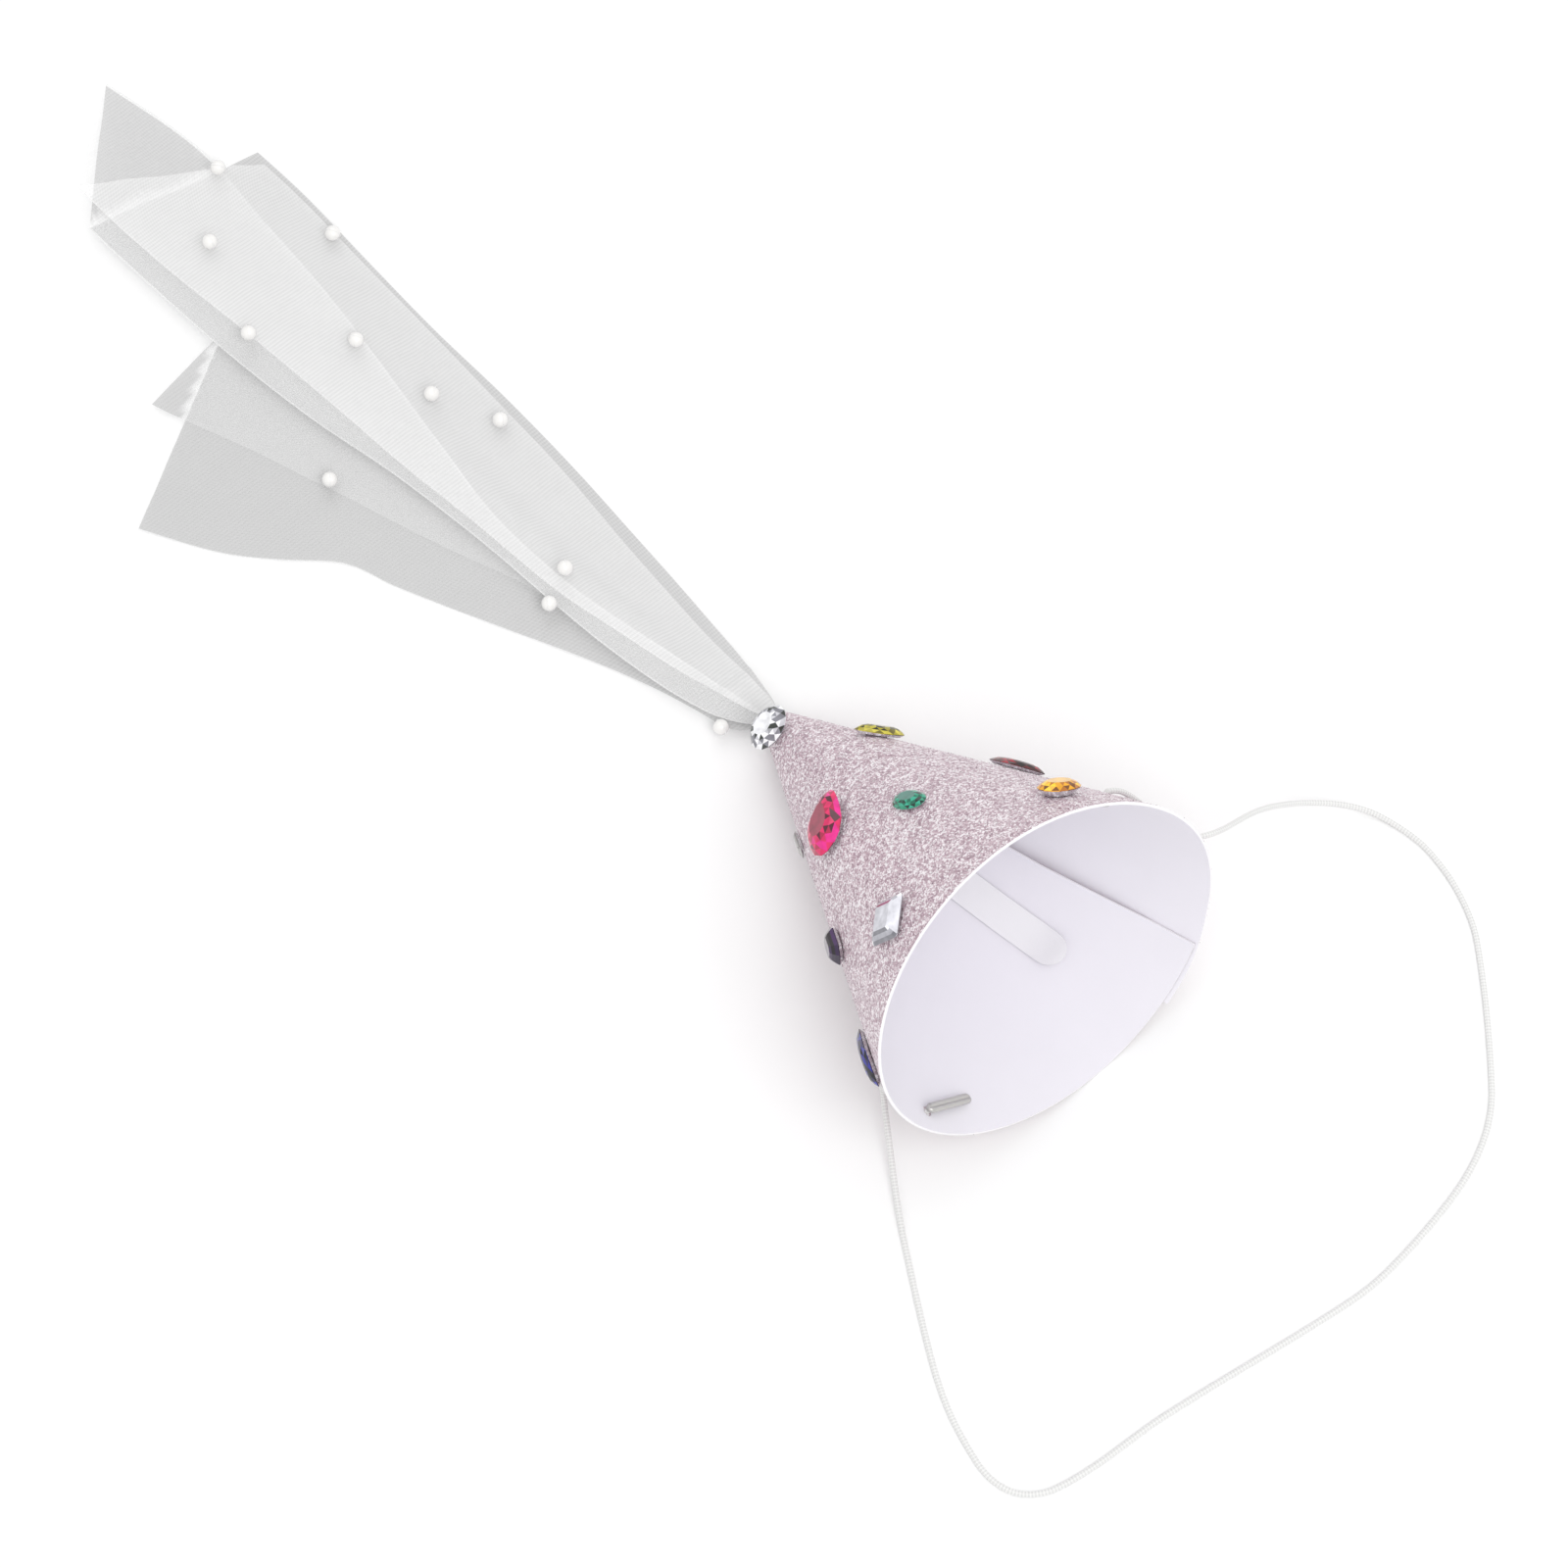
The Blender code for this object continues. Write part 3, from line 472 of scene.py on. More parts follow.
def fleck_group():
    """Cells of glitter: a colour, a tilt of the surface and how mirror-like each cell is."""
    name = "glitter flecks"
    if name in bpy.data.node_groups:
        return bpy.data.node_groups[name]
    tree, start, end = new_tree("ShaderNodeTree", name, (
        ("Cells", "NodeSocketFloat", 2500.0), ("Dark", "NodeSocketColor", (0.4, 0.3, 0.3, 1.0)),
        ("Base", "NodeSocketColor", (0.6, 0.5, 0.5, 1.0)),
        ("Bright", "NodeSocketColor", (1.0, 1.0, 1.0, 1.0)),
        ("Tilt", "NodeSocketFloat", 0.6)),
        (("Color", "NodeSocketColor"), ("Metallic", "NodeSocketFloat"), ("Normal", "NodeSocketVector")))
    links = tree.links
    place = add(tree, "ShaderNodeTexCoord").outputs["Object"]
    cells = add(tree, "ShaderNodeTexVoronoi")
    links.new(place, cells.inputs["Vector"])
    links.new(start.outputs["Cells"], cells.inputs["Scale"])
    split = add(tree, "ShaderNodeSeparateColor")
    links.new(cells.outputs["Color"], split.inputs[0])
    cloud = add(tree, "ShaderNodeTexNoise")
    cloud.inputs["Scale"].default_value = 620.0
    cloud.inputs["Detail"].default_value = 2.0
    links.new(place, cloud.inputs["Vector"])
    drift = math_node(tree, "MULTIPLY", math_node(tree, "SUBTRACT", cloud.outputs["Fac"], 0.5), 1.3)
    value = math_node(tree, "ADD", split.outputs[0], drift)
    low = add(tree, "ShaderNodeMapRange")
    low.inputs["From Min"].default_value = 0.12
    low.inputs["From Max"].default_value = 0.42
    links.new(value, low.inputs["Value"])
    high = add(tree, "ShaderNodeMapRange")
    high.inputs["From Min"].default_value = 0.60
    high.inputs["From Max"].default_value = 0.78
    links.new(value, high.inputs["Value"])
    first = add(tree, "ShaderNodeMix", data_type="RGBA")
    links.new(low.outputs[0], first.inputs[0])
    links.new(start.outputs["Dark"], first.inputs[6])
    links.new(start.outputs["Base"], first.inputs[7])
    second = add(tree, "ShaderNodeMix", data_type="RGBA")
    links.new(high.outputs[0], second.inputs[0])
    links.new(first.outputs[2], second.inputs[6])
    links.new(start.outputs["Bright"], second.inputs[7])
    links.new(second.outputs[2], end.inputs["Color"])
    links.new(math_node(tree, "MULTIPLY", high.outputs[0], 0.45), end.inputs["Metallic"])
    centred = add(tree, "ShaderNodeVectorMath", operation="SUBTRACT")
    links.new(cells.outputs["Color"], centred.inputs[0])
    centred.inputs[1].default_value = (0.5, 0.5, 0.5)
    tilted = add(tree, "ShaderNodeVectorMath", operation="SCALE")
    links.new(centred.outputs[0], tilted.inputs[0])
    links.new(start.outputs["Tilt"], tilted.inputs["Scale"])
    normal = add(tree, "ShaderNodeVectorMath", operation="ADD")
    links.new(add(tree, "ShaderNodeNewGeometry").outputs["Normal"], normal.inputs[0])
    links.new(tilted.outputs[0], normal.inputs[1])
    unit = add(tree, "ShaderNodeVectorMath", operation="NORMALIZE")
    links.new(normal.outputs[0], unit.inputs[0])
    links.new(unit.outputs[0], end.inputs["Normal"])
    return tree


def fibre_group():
    """Faint mottling and tooth of plain card."""
    name = "card fibre"
    if name in bpy.data.node_groups:
        return bpy.data.node_groups[name]
    tree, start, end = new_tree("ShaderNodeTree", name, (
        ("Color", "NodeSocketColor", (0.85, 0.85, 0.85, 1.0)), ("Mottle", "NodeSocketFloat", 0.03)),
        (("Color", "NodeSocketColor"), ("Height", "NodeSocketFloat")))
    links = tree.links
    place = add(tree, "ShaderNodeTexCoord").outputs["Object"]
    fine = add(tree, "ShaderNodeTexNoise")
    fine.inputs["Scale"].default_value = 1800.0
    fine.inputs["Detail"].default_value = 3.0
    wide = add(tree, "ShaderNodeTexNoise")
    wide.inputs["Scale"].default_value = 60.0
    links.new(place, fine.inputs["Vector"])
    links.new(place, wide.inputs["Vector"])
    both = math_node(tree, "ADD", math_node(tree, "MULTIPLY", fine.outputs["Fac"], 0.4),
                     math_node(tree, "MULTIPLY", wide.outputs["Fac"], 0.6))
    shade = math_node(tree, "ADD", math_node(tree, "MULTIPLY", math_node(tree, "SUBTRACT", both, 0.5),
                                             start.outputs["Mottle"]), 1.0)
    scaled = add(tree, "ShaderNodeVectorMath", operation="SCALE")
    links.new(start.outputs["Color"], scaled.inputs[0])
    links.new(shade, scaled.inputs["Scale"])
    links.new(scaled.outputs[0], end.inputs["Color"])
    links.new(fine.outputs["Fac"], end.inputs["Height"])
    return tree


def weave_group():
    """Ribs and threads on the piece's own UV map, which is in metres."""
    name = "fine weave"
    if name in bpy.data.node_groups:
        return bpy.data.node_groups[name]
    tree, start, end = new_tree("ShaderNodeTree", name, (
        ("Rib pitch", "NodeSocketFloat", 0.001), ("Thread pitch", "NodeSocketFloat", 0.0005)),
        (("Mask", "NodeSocketFloat"), ("Patches", "NodeSocketFloat")))
    links = tree.links
    split = add(tree, "ShaderNodeSeparateXYZ")
    uv = add(tree, "ShaderNodeTexCoord").outputs["UV"]
    links.new(uv, split.inputs[0])
    waves = []
    for axis, pitch in (("X", "Thread pitch"), ("Y", "Rib pitch")):
        turns = math_node(tree, "DIVIDE", split.outputs[axis], start.outputs[pitch])
        waves.append(math_node(tree, "SINE", math_node(tree, "MULTIPLY", turns, 2.0 * math.pi)))
    mixed = math_node(tree, "ADD", math_node(tree, "MULTIPLY", waves[0], 0.18),
                      math_node(tree, "MULTIPLY", waves[1], 0.32))
    links.new(math_node(tree, "ADD", mixed, 0.5), end.inputs["Mask"])
    cloud = add(tree, "ShaderNodeTexNoise")
    cloud.inputs["Scale"].default_value = 70.0
    cloud.inputs["Detail"].default_value = 3.0
    links.new(uv, cloud.inputs["Vector"])
    links.new(cloud.outputs["Fac"], end.inputs["Patches"])
    return tree


def add_bump(tree, shader, height, strength, distance):
    bump = add(tree, "ShaderNodeBump")
    bump.inputs["Strength"].default_value = strength
    bump.inputs["Distance"].default_value = distance
    tree.links.new(height, bump.inputs["Height"])
    tree.links.new(bump.outputs["Normal"], shader.inputs["Normal"])


def glitter_material(card):
    material, tree, shader = new_material("glitter card", card.base, 0.42)
    flecks = place_group(tree, fleck_group(), Cells=2300.0, Dark=(*card.dark, 1.0), Base=(*card.base, 1.0),
                         Bright=(*card.bright, 1.0), Tilt=0.75)
    tree.links.new(flecks.outputs["Color"], shader.inputs["Base Color"])
    tree.links.new(flecks.outputs["Metallic"], shader.inputs["Metallic"])
    tree.links.new(flecks.outputs["Normal"], shader.inputs["Normal"])
    return material


def plain_card_material(name, colour, roughness):
    material, tree, shader = new_material(name, colour, roughness)
    fibre = place_group(tree, fibre_group(), Color=(*colour, 1.0), Mottle=0.05)
    tree.links.new(fibre.outputs["Color"], shader.inputs["Base Color"])
    add_bump(tree, shader, fibre.outputs["Height"], 0.12, 0.00008)
    return material


def flake_material(card):
    material, tree, shader = new_material("loose glitter", card.bright, 0.22)
    kind = add(tree, "ShaderNodeAttribute", attribute_name="fleck").outputs["Fac"]
    colour = ramp_node(tree, kind, ((0.0, (0.97, 0.96, 0.97)), (0.45, (0.92, 0.84, 0.88)),
                                    (0.70, tuple(card.base)), (0.86, tuple(card.dark))), "CONSTANT")
    tree.links.new(colour, shader.inputs["Base Color"])
    metal = ramp_node(tree, kind, ((0.0, (0.5, 0.5, 0.5)), (0.45, (0.2, 0.2, 0.2))), "CONSTANT")
    tree.links.new(metal, shader.inputs["Metallic"])
    return material


def veil_material(veil):
    """Sheer cloth that lets light through to the layers below: each layer has its own brightness and cover,
    and the grey of a layer lying alone is painted shade.
    """
    material, tree, shader = new_material("sheer veil", (0.9, 0.9, 0.9), 0.75)
    shader.inputs["Specular IOR Level"].default_value = 0.15
    weave = place_group(tree, weave_group(), Rib_pitch=veil.rib_pitch, Thread_pitch=veil.rib_pitch * 0.6)
    cloth_tone_and_painted_shade = add(tree, "ShaderNodeAttribute", attribute_name="cloth_tone_and_painted_shade").outputs["Fac"]
    cover = add(tree, "ShaderNodeAttribute", attribute_name="cover").outputs["Fac"]
    centred = math_node(tree, "SUBTRACT", weave.outputs["Mask"], 0.5)
    patch = math_node(tree, "SUBTRACT", weave.outputs["Patches"], 0.5)
    shade = math_node(tree, "ADD", math_node(tree, "MULTIPLY", centred, 0.07),
                      math_node(tree, "MULTIPLY", patch, 0.05))
    bright = math_node(tree, "MULTIPLY", cloth_tone_and_painted_shade, math_node(tree, "ADD", shade, 1.0))
    colour = add(tree, "ShaderNodeCombineColor")
    for socket in colour.inputs:
        tree.links.new(bright, socket)
    tree.links.new(colour.outputs[0], shader.inputs["Base Color"])
    thick = math_node(tree, "ADD", math_node(tree, "MULTIPLY", centred, 0.25), 1.0)
    lit = math_node(tree, "SUBTRACT", 1.0, add(tree, "ShaderNodeLightPath").outputs["Is Shadow Ray"])
    amount = math_node(tree, "MULTIPLY", cover, thick)
    tree.links.new(math_node(tree, "MULTIPLY", amount, lit), shader.inputs["Alpha"])
    add_bump(tree, shader, weave.outputs["Mask"], 0.15, 0.0001)
    return material


def pearl_material(veil):
    material, tree, shader = new_material("pearl", veil.pearl_colour, 0.22)
    shader.inputs["Coat Weight"].default_value = 0.6
    shader.inputs["Coat Roughness"].default_value = 0.08
    # The base colour greys towards the pearl's outline and lightens again at the very edge, by the angle of
    # view: painted shade and a painted bright rim.
    facing = add(tree, "ShaderNodeLayerWeight")
    facing.inputs["Blend"].default_value = 0.35
    colour = ramp_node(tree, facing.outputs["Facing"], (
        (0.0, tuple(veil.pearl_colour)), (0.5, (0.82, 0.81, 0.80)), (0.8, (0.70, 0.69, 0.69)),
        (1.0, (0.86, 0.86, 0.87))))
    tree.links.new(colour, shader.inputs["Base Color"])
    return material


def stone_material(node, trim):
    """Facets of five colours, picked by the facet's own number: painted reflections and glints over the
    stone's own hue.
    """
    colours = STONE_HUES_AND_PAINTED_GLINTS[node]
    material, tree, shader = new_material(node.replace("_", " "), colours[2], trim.stone_roughness)
    shader.inputs["IOR"].default_value = 1.52
    shader.inputs["Coat Weight"].default_value = 0.5
    facet = add(tree, "ShaderNodeAttribute", attribute_name="facet").outputs["Fac"]
    stops = [(0.0, colours[0]), (0.18, colours[1]), (0.42, colours[2]), (0.72, colours[3]),
             (0.9, colours[4])]
    picked = ramp_node(tree, facet, stops, "CONSTANT")
    cloud = add(tree, "ShaderNodeTexNoise")
    cloud.inputs["Scale"].default_value = 420.0
    tree.links.new(add(tree, "ShaderNodeTexCoord").outputs["Object"], cloud.inputs["Vector"])
    scaled = add(tree, "ShaderNodeVectorMath", operation="SCALE")
    tree.links.new(picked, scaled.inputs[0])
    tree.links.new(math_node(tree, "ADD", cloud.outputs["Fac"], 0.5), scaled.inputs["Scale"])
    tree.links.new(scaled.outputs[0], shader.inputs["Base Color"])
    return material


def metal_material(name, colour, roughness):
    material, tree, shader = new_material(name, colour, roughness, 0.85)
    scratch = add(tree, "ShaderNodeTexNoise")
    scratch.inputs["Scale"].default_value = 900.0
    scratch.inputs["Detail"].default_value = 2.0
    tree.links.new(add(tree, "ShaderNodeTexCoord").outputs["Object"], scratch.inputs["Vector"])
    spread = math_node(tree, "MULTIPLY", scratch.outputs["Fac"], 0.18)
    rough = math_node(tree, "ADD", spread, roughness - 0.09)
    tree.links.new(rough, shader.inputs["Roughness"])
    add_bump(tree, shader, scratch.outputs["Fac"], 0.1, 0.00004)
    return material


def elastic_material(trim):
    material, tree, shader = new_material("knitted elastic", trim.elastic, 0.7)
    weave = place_group(tree, weave_group(), Rib_pitch=trim.elastic_rib, Thread_pitch=0.0008)
    shade = math_node(tree, "ADD", math_node(tree, "MULTIPLY", weave.outputs["Mask"], 0.22), 0.80)
    scaled = add(tree, "ShaderNodeVectorMath", operation="SCALE")
    scaled.inputs[0].default_value = tuple(trim.elastic)
    tree.links.new(shade, scaled.inputs["Scale"])
    tree.links.new(scaled.outputs[0], shader.inputs["Base Color"])
    add_bump(tree, shader, weave.outputs["Mask"], 0.5, 0.0002)
    return material


def card_rows(card, extra_depth):
    """Rows of the card from its cut point to its rim, each from the seam edge once round and over."""
    turns = [i * (360.0 + LAP) / 190.0 for i in range(191)]
    slants = [TIP_CUT + (card.slant - TIP_CUT) * i / 44.0 for i in range(45)]
    rows = []
    for slant in slants:
        row = []
        for turned in turns:
            reach = slant
            if slant == slants[-1]:
                reach += LAP_SLIP * smooth_step((turned - 345.0) / (15.0 + 0.6 * LAP))
            depth = layer_depth(reach, turned, card.thickness) + extra_depth
            row.append(wall_point(reach, SEAM + turned, depth))
        rows.append(row)
    return rows


def cut_hole(item, hole):
    """A round hole through the wall for the elastic."""
    bm = bmesh.new()
    bmesh.ops.create_cone(bm, cap_ends=True, segments=20, radius1=CORD_HOLE / 2 * MM,
                          radius2=CORD_HOLE / 2 * MM, depth=8.0 * MM)
    turn = wall_normal(*hole).to_track_quat("Z", "Y").to_matrix().to_4x4()
    bm.transform(Matrix.Translation(wall_point(*hole) * MM) @ turn)
    mesh = bpy.data.meshes.new("hole")
    bm.to_mesh(mesh)
    bm.free()
    cutter = bpy.data.objects.new("hole", mesh)
    bpy.context.scene.collection.objects.link(cutter)
    cut = item.modifiers.new("hole", "BOOLEAN")
    cut.operation = "DIFFERENCE"
    cut.solver = "EXACT"
    cut.object = cutter
    return cutter


def flake_tree():
    """Scatters small flat hexagons over a surface, each tilted a little."""
    tree, start, end = new_tree("GeometryNodeTree", "glitter flakes", (
        ("Geometry", "NodeSocketGeometry", None), ("Density", "NodeSocketFloat", 1000.0),
        ("Radius", "NodeSocketFloat", 0.0002), ("Tilt", "NodeSocketFloat", 0.4),
        ("Seed", "NodeSocketInt", 4), ("Material", "NodeSocketMaterial", None)),
        (("Geometry", "NodeSocketGeometry"),))
    links = tree.links
    points = add(tree, "GeometryNodeDistributePointsOnFaces")
    links.new(start.outputs["Geometry"], points.inputs["Mesh"])
    links.new(start.outputs["Density"], points.inputs["Density"])
    links.new(start.outputs["Seed"], points.inputs["Seed"])
    flake = add(tree, "GeometryNodeMeshCircle", fill_type="NGON")
    flake.inputs["Vertices"].default_value = 6
    links.new(start.outputs["Radius"], flake.inputs["Radius"])
    kind = add(tree, "FunctionNodeRandomValue", data_type="FLOAT")
    links.new(start.outputs["Seed"], kind.inputs["Seed"])
    store = add(tree, "GeometryNodeStoreNamedAttribute", data_type="FLOAT", domain="POINT")
    store.inputs["Name"].default_value = "fleck"
    links.new(points.outputs["Points"], store.inputs["Geometry"])
    links.new(kind.outputs[1], store.inputs["Value"])
    low = add(tree, "ShaderNodeMath", operation="MULTIPLY")
    links.new(start.outputs["Tilt"], low.inputs[0])
    low.inputs[1].default_value = -1.0
    lean = add(tree, "FunctionNodeRandomValue", data_type="FLOAT_VECTOR")
    spread_low = add(tree, "ShaderNodeCombineXYZ")
    spread_high = add(tree, "ShaderNodeCombineXYZ")
    for axis in (0, 1):
        links.new(low.outputs[0], spread_low.inputs[axis])
        links.new(start.outputs["Tilt"], spread_high.inputs[axis])
    links.new(spread_low.outputs[0], lean.inputs["Min"])
    links.new(spread_high.outputs[0], lean.inputs["Max"])
    links.new(start.outputs["Seed"], lean.inputs["Seed"])
    turn = add(tree, "FunctionNodeRotateRotation", rotation_space="LOCAL")
    links.new(points.outputs["Rotation"], turn.inputs["Rotation"])
    links.new(lean.outputs[0], turn.inputs["Rotate By"])
    placed = add(tree, "GeometryNodeInstanceOnPoints")
    links.new(store.outputs["Geometry"], placed.inputs["Points"])
    links.new(flake.outputs["Mesh"], placed.inputs["Instance"])
    links.new(turn.outputs[0], placed.inputs["Rotation"])
    real = add(tree, "GeometryNodeRealizeInstances")
    links.new(placed.outputs["Instances"], real.inputs["Geometry"])
    finish = add(tree, "GeometryNodeSetMaterial")
    links.new(real.outputs["Geometry"], finish.inputs["Geometry"])
    links.new(start.outputs["Material"], finish.inputs["Material"])
    links.new(finish.outputs["Geometry"], end.inputs["Geometry"])
    return tree


class PARTYHAT_OT_card(bpy.types.Operator):
    """Roll the glitter card into a cone with a lapped seam and a hole at each side"""
    bl_idname = "partyhat.card"
    bl_label = "Card cone"

    def execute(self, context):
        card = context.scene.party_hat_card
        mesh = shell_mesh("rolled_card", card_rows(card, 0.0), card_rows(card, card.thickness))
        inside = plain_card_material("card inside", card.inside, 0.62)
        edge = plain_card_material("card edge", (0.90, 0.89, 0.91), 0.7)
        item = link("rolled_card_raw", mesh, glitter_material(card), inside, edge)
        cutters = [cut_hole(item, hole) for hole in (NEAR_HOLE, FAR_HOLE)]
        made = plain_copy(item, "rolled_card")
        for cutter in cutters:
            bpy.data.objects.remove(cutter, do_unlink=True)
        finish_piece(made, "glitter_card", "card_cone")
        return {"FINISHED"}


class PARTYHAT_OT_flakes(bpy.types.Operator):
    """Scatter loose glitter flakes over the outside of the card"""
    bl_idname = "partyhat.flakes"
    bl_label = "Glitter flakes"

    def execute(self, context):
        card = context.scene.party_hat_card
        rows = card_rows(card, -0.06)
        first = next(i for i in range(191) if i * (360.0 + LAP) / 190.0 >= LAP + 1.0)
        mesh = bpy.data.meshes.new("flake_bed")
        bm = bmesh.new()
        verts = [[bm.verts.new(p * MM) for p in row[first:]] for row in rows]
        for lower, upper in zip(verts, verts[1:]):
            for i in range(len(lower) - 1):
                bm.faces.new((lower[i], upper[i], upper[i + 1], lower[i + 1]))
        bm.to_mesh(mesh)
        bm.free()
        bed = link("flake_bed", mesh)
        scatter = bed.modifiers.new("flakes", "NODES")
        scatter.node_group = flake_tree()
        set_input(bed, scatter, "Density", card.flake_count * 10000.0)
        set_input(bed, scatter, "Radius", card.flake_radius)
        set_input(bed, scatter, "Tilt", 0.35)
        set_input(bed, scatter, "Seed", 4)
        set_input(bed, scatter, "Material", flake_material(card))
        finish_piece(plain_copy(bed, "glitter_flakes"), "glitter_card")
        return {"FINISHED"}


class PARTYHAT_OT_tongue(bpy.types.Operator):
    """Lay the locking tongue along the inside of the wall, with its loose end standing off"""
    bl_idname = "partyhat.tongue"
    bl_label = "Locking tongue"

    def execute(self, context):
        card = context.scene.party_hat_card
        round_end = TONGUE_WIDTH / 2
        straight = TONGUE_TO - round_end
        stations = [TONGUE_FROM + (straight - TONGUE_FROM) * i / 30.0 for i in range(31)]
        stations += [straight + round_end * math.sin(math.radians(a)) for a in range(8, 88, 8)]
        grids = ([], [])
        for slant in stations:
            over = max(0.0, slant - straight) / round_end
            half_angle = math.degrees(TONGUE_WIDTH / 2 * math.sqrt(1.0 - over * over)
                                      / (slant * math.sin(math.radians(HALF_ANGLE))))
            middle = TONGUE_ANGLE + (TONGUE_TO - slant) * TONGUE_DRIFT
            curl = TONGUE_CURL * smooth_step((slant - 100.0) / 16.0) ** 2
            for grid, extra in zip(grids, (0.0, card.thickness * 0.6)):
                row = []
                for i in range(9):
                    angle = middle + half_angle * (i / 4.0 - 1.0)
                    depth = layer_depth(slant, angle - SEAM, card.thickness) + card.thickness + 0.4
                    row.append(wall_point(slant, angle, depth + curl + extra))
                grid.append(row)
        mesh = shell_mesh("tongue_strip", *grids)
        white = plain_card_material("tongue card", (0.86, 0.85, 0.87), 0.62)
        finish_piece(link("tongue_strip", mesh, white, white, white), "white_card", "lock_tongue")
        return {"FINISHED"}


def neck_share(along):
    """0 where the veil enters the cone, 1 where it lies free."""
    return smooth_step((along - NECK_START) / (NECK_FREE - NECK_START))


def layer_scale(along):
    return NECK_SQUEEZE + (1.0 - NECK_SQUEEZE) * neck_share(along)


def upper_base(along, across):
    """Height of the underside of the upper panel: it climbs onto the lower panel on one side."""
    right = interpolate(UPPER_ROWS, UPPER_COLUMNS, "right_edge", along)
    bottom = interpolate(UPPER_ROWS, UPPER_COLUMNS, "bottom_fold", along)
    share = (right - across) / (right - bottom)
    climb = 1.0 if along < 8.0 else smooth_step((share - 0.42) / 0.3)
    climb = max(climb, 1.0 - neck_share(along))
    return 2.0 * LAYER * layer_scale(along) * climb + NECK_CLEAR * (1.0 - neck_share(along))


def upper_sag(along, across, layer):
    """The top layer sinks onto the bottom one where nothing lies between them."""
    if layer < 3:
        return 0.0
    fold = interpolate(UPPER_ROWS, UPPER_COLUMNS, "top_fold", along)
    return 2.0 * LAYER * smooth_step((across - fold - 2.5) / 9.0) * neck_share(along)


def flat_base(along, across):
    return 0.0


def no_sag(along, across, layer):
    return 0.0


def soft_wave(along, across, layer):
    """Slow ripples that die away at the neck, from -1 to 1."""
    wave = math.sin(across * 0.21 + along * 0.031 + layer * 1.9) * 0.6
    wave += math.sin(across * 0.47 - along * 0.058 + layer * 0.7) * 0.4
    return wave * neck_share(along)


def share_alone(rows, columns, ends, order, along, across):
    """0 over the bottom layer, 1 past its end, where the next layer has nothing under it."""
    first, second = order[0], order[1]
    a = interpolate(rows, columns, first, ends[first])
    b = interpolate(rows, columns, second, ends[second])
    share = min(1.0, max(0.0, (across - a) / (b - a)))
    end = ends[first] + (ends[second] - ends[first]) * share
    return smooth_step((along - end) / END_BLEND)


def folded_sheet(name, rows, columns, ends, order, base, sag, layers, ripple, steps, count):
    """A sheet that runs from edge to edge in order, turning over at each fold between them."""
    mesh = bpy.data.meshes.new(name)
    bm = bmesh.new()
    cloth_tone_and_painted_shade = bm.verts.layers.float.new("cloth_tone_and_painted_shade")
    cover = bm.verts.layers.float.new("cover")
    grid, spots = [], []
    for j in range(count):
        share_along = (j / (count - 1)) ** 1.15
        line, spot = [], []
        run = 0.0
        for layer in range(len(order) - 1):
            start, stop = order[layer], order[layer + 1]
            a_along = NECK_END + (ends[start] - NECK_END) * share_along
            b_along = NECK_END + (ends[stop] - NECK_END) * share_along
            a_across = interpolate(rows, columns, start, a_along)
            b_across = interpolate(rows, columns, stop, b_along)
            for k in range(steps + 1):
                share = k / steps
                along = a_along + (b_along - a_along) * share
                across = a_across + (b_across - a_across) * share
                height = base(along, across) + (layer + 0.5) * LAYER * layer_scale(along) - 0.15
                height += NECK_LIFT * (1.0 - neck_share(along)) - sag(along, across, layer)
                height += ripple * 0.4 * soft_wave(along, across, layer)
                line.append((TIP_X - along, TIP_Y + across, max(height, 0.25)))
                # The bottom layer's grey, which the next layer takes over where it lies alone, is painted
                # shade.
                bright, amount = layers[layer]
                if layer == 1:
                    alone = share_alone(rows, columns, ends, order, along, across)
                    bright += (layers[0][0] - bright) * alone
                    amount += (layers[0][1] - amount) * alone
                spot.append((bright, amount, run, along))
                run += abs(b_across - a_across) / steps
            if layer < len(order) - 2:
                outward = 1.0 if b_across > a_across else -1.0
                turn = LAYER * layer_scale(b_along) / 2.0
                foot = line[-1]
                for degrees in (-60.0, -20.0, 20.0, 60.0):
                    reach = turn * math.cos(math.radians(degrees)) * outward
                    rise = turn * (1.0 + math.sin(math.radians(degrees)))
                    line.append((foot[0], foot[1] + reach * 0.7, foot[2] + rise))
                    spot.append((0.97, 0.5, run, b_along))
                    run += 0.3
        grid.append([bm.verts.new(Vector(p) * MM) for p in line])
        spots.append(spot)
    uv = bm.loops.layers.uv.new("UVMap")
    place = {}
    for verts, spot in zip(grid, spots):
        for vert, (bright, amount, run, along) in zip(verts, spot):
            vert[cloth_tone_and_painted_shade], vert[cover] = bright, amount
            place[vert] = (run * MM, along * MM)
    for lower, upper in zip(grid, grid[1:]):
        for i in range(len(lower) - 1):
            face = bm.faces.new((lower[i], lower[i + 1], upper[i + 1], upper[i]))
            for loop in face.loops:
                loop[uv].uv = place[loop.vert]
    bm.to_mesh(mesh)
    bm.free()
    mesh.shade_smooth()
    return mesh


class PARTYHAT_OT_veil(bpy.types.Operator):
    """Fold the two sheer panels of the veil"""
    bl_idname = "partyhat.veil"
    bl_label = "Veil"

    def execute(self, context):
        veil = context.scene.party_hat_veil
        cloth = veil_material(veil)
        lower = link("veil_lower_sheet", folded_sheet(
            "veil_lower_sheet", LOWER_ROWS, LOWER_COLUMNS, LOWER_ENDS, LOWER_ORDER, flat_base, no_sag,
            LOWER_LAYERS, veil.ripple, 18, 110), cloth)
        upper = link("veil_upper_sheet", folded_sheet(
            "veil_upper_sheet", UPPER_ROWS, UPPER_COLUMNS, UPPER_ENDS, UPPER_ORDER, upper_base, upper_sag,
            UPPER_LAYERS, veil.ripple, 18, 150), cloth)
        finish_piece(lower, "white_veil", "veil_lower")
        finish_piece(upper, "white_veil", "veil_upper")
        return {"FINISHED"}


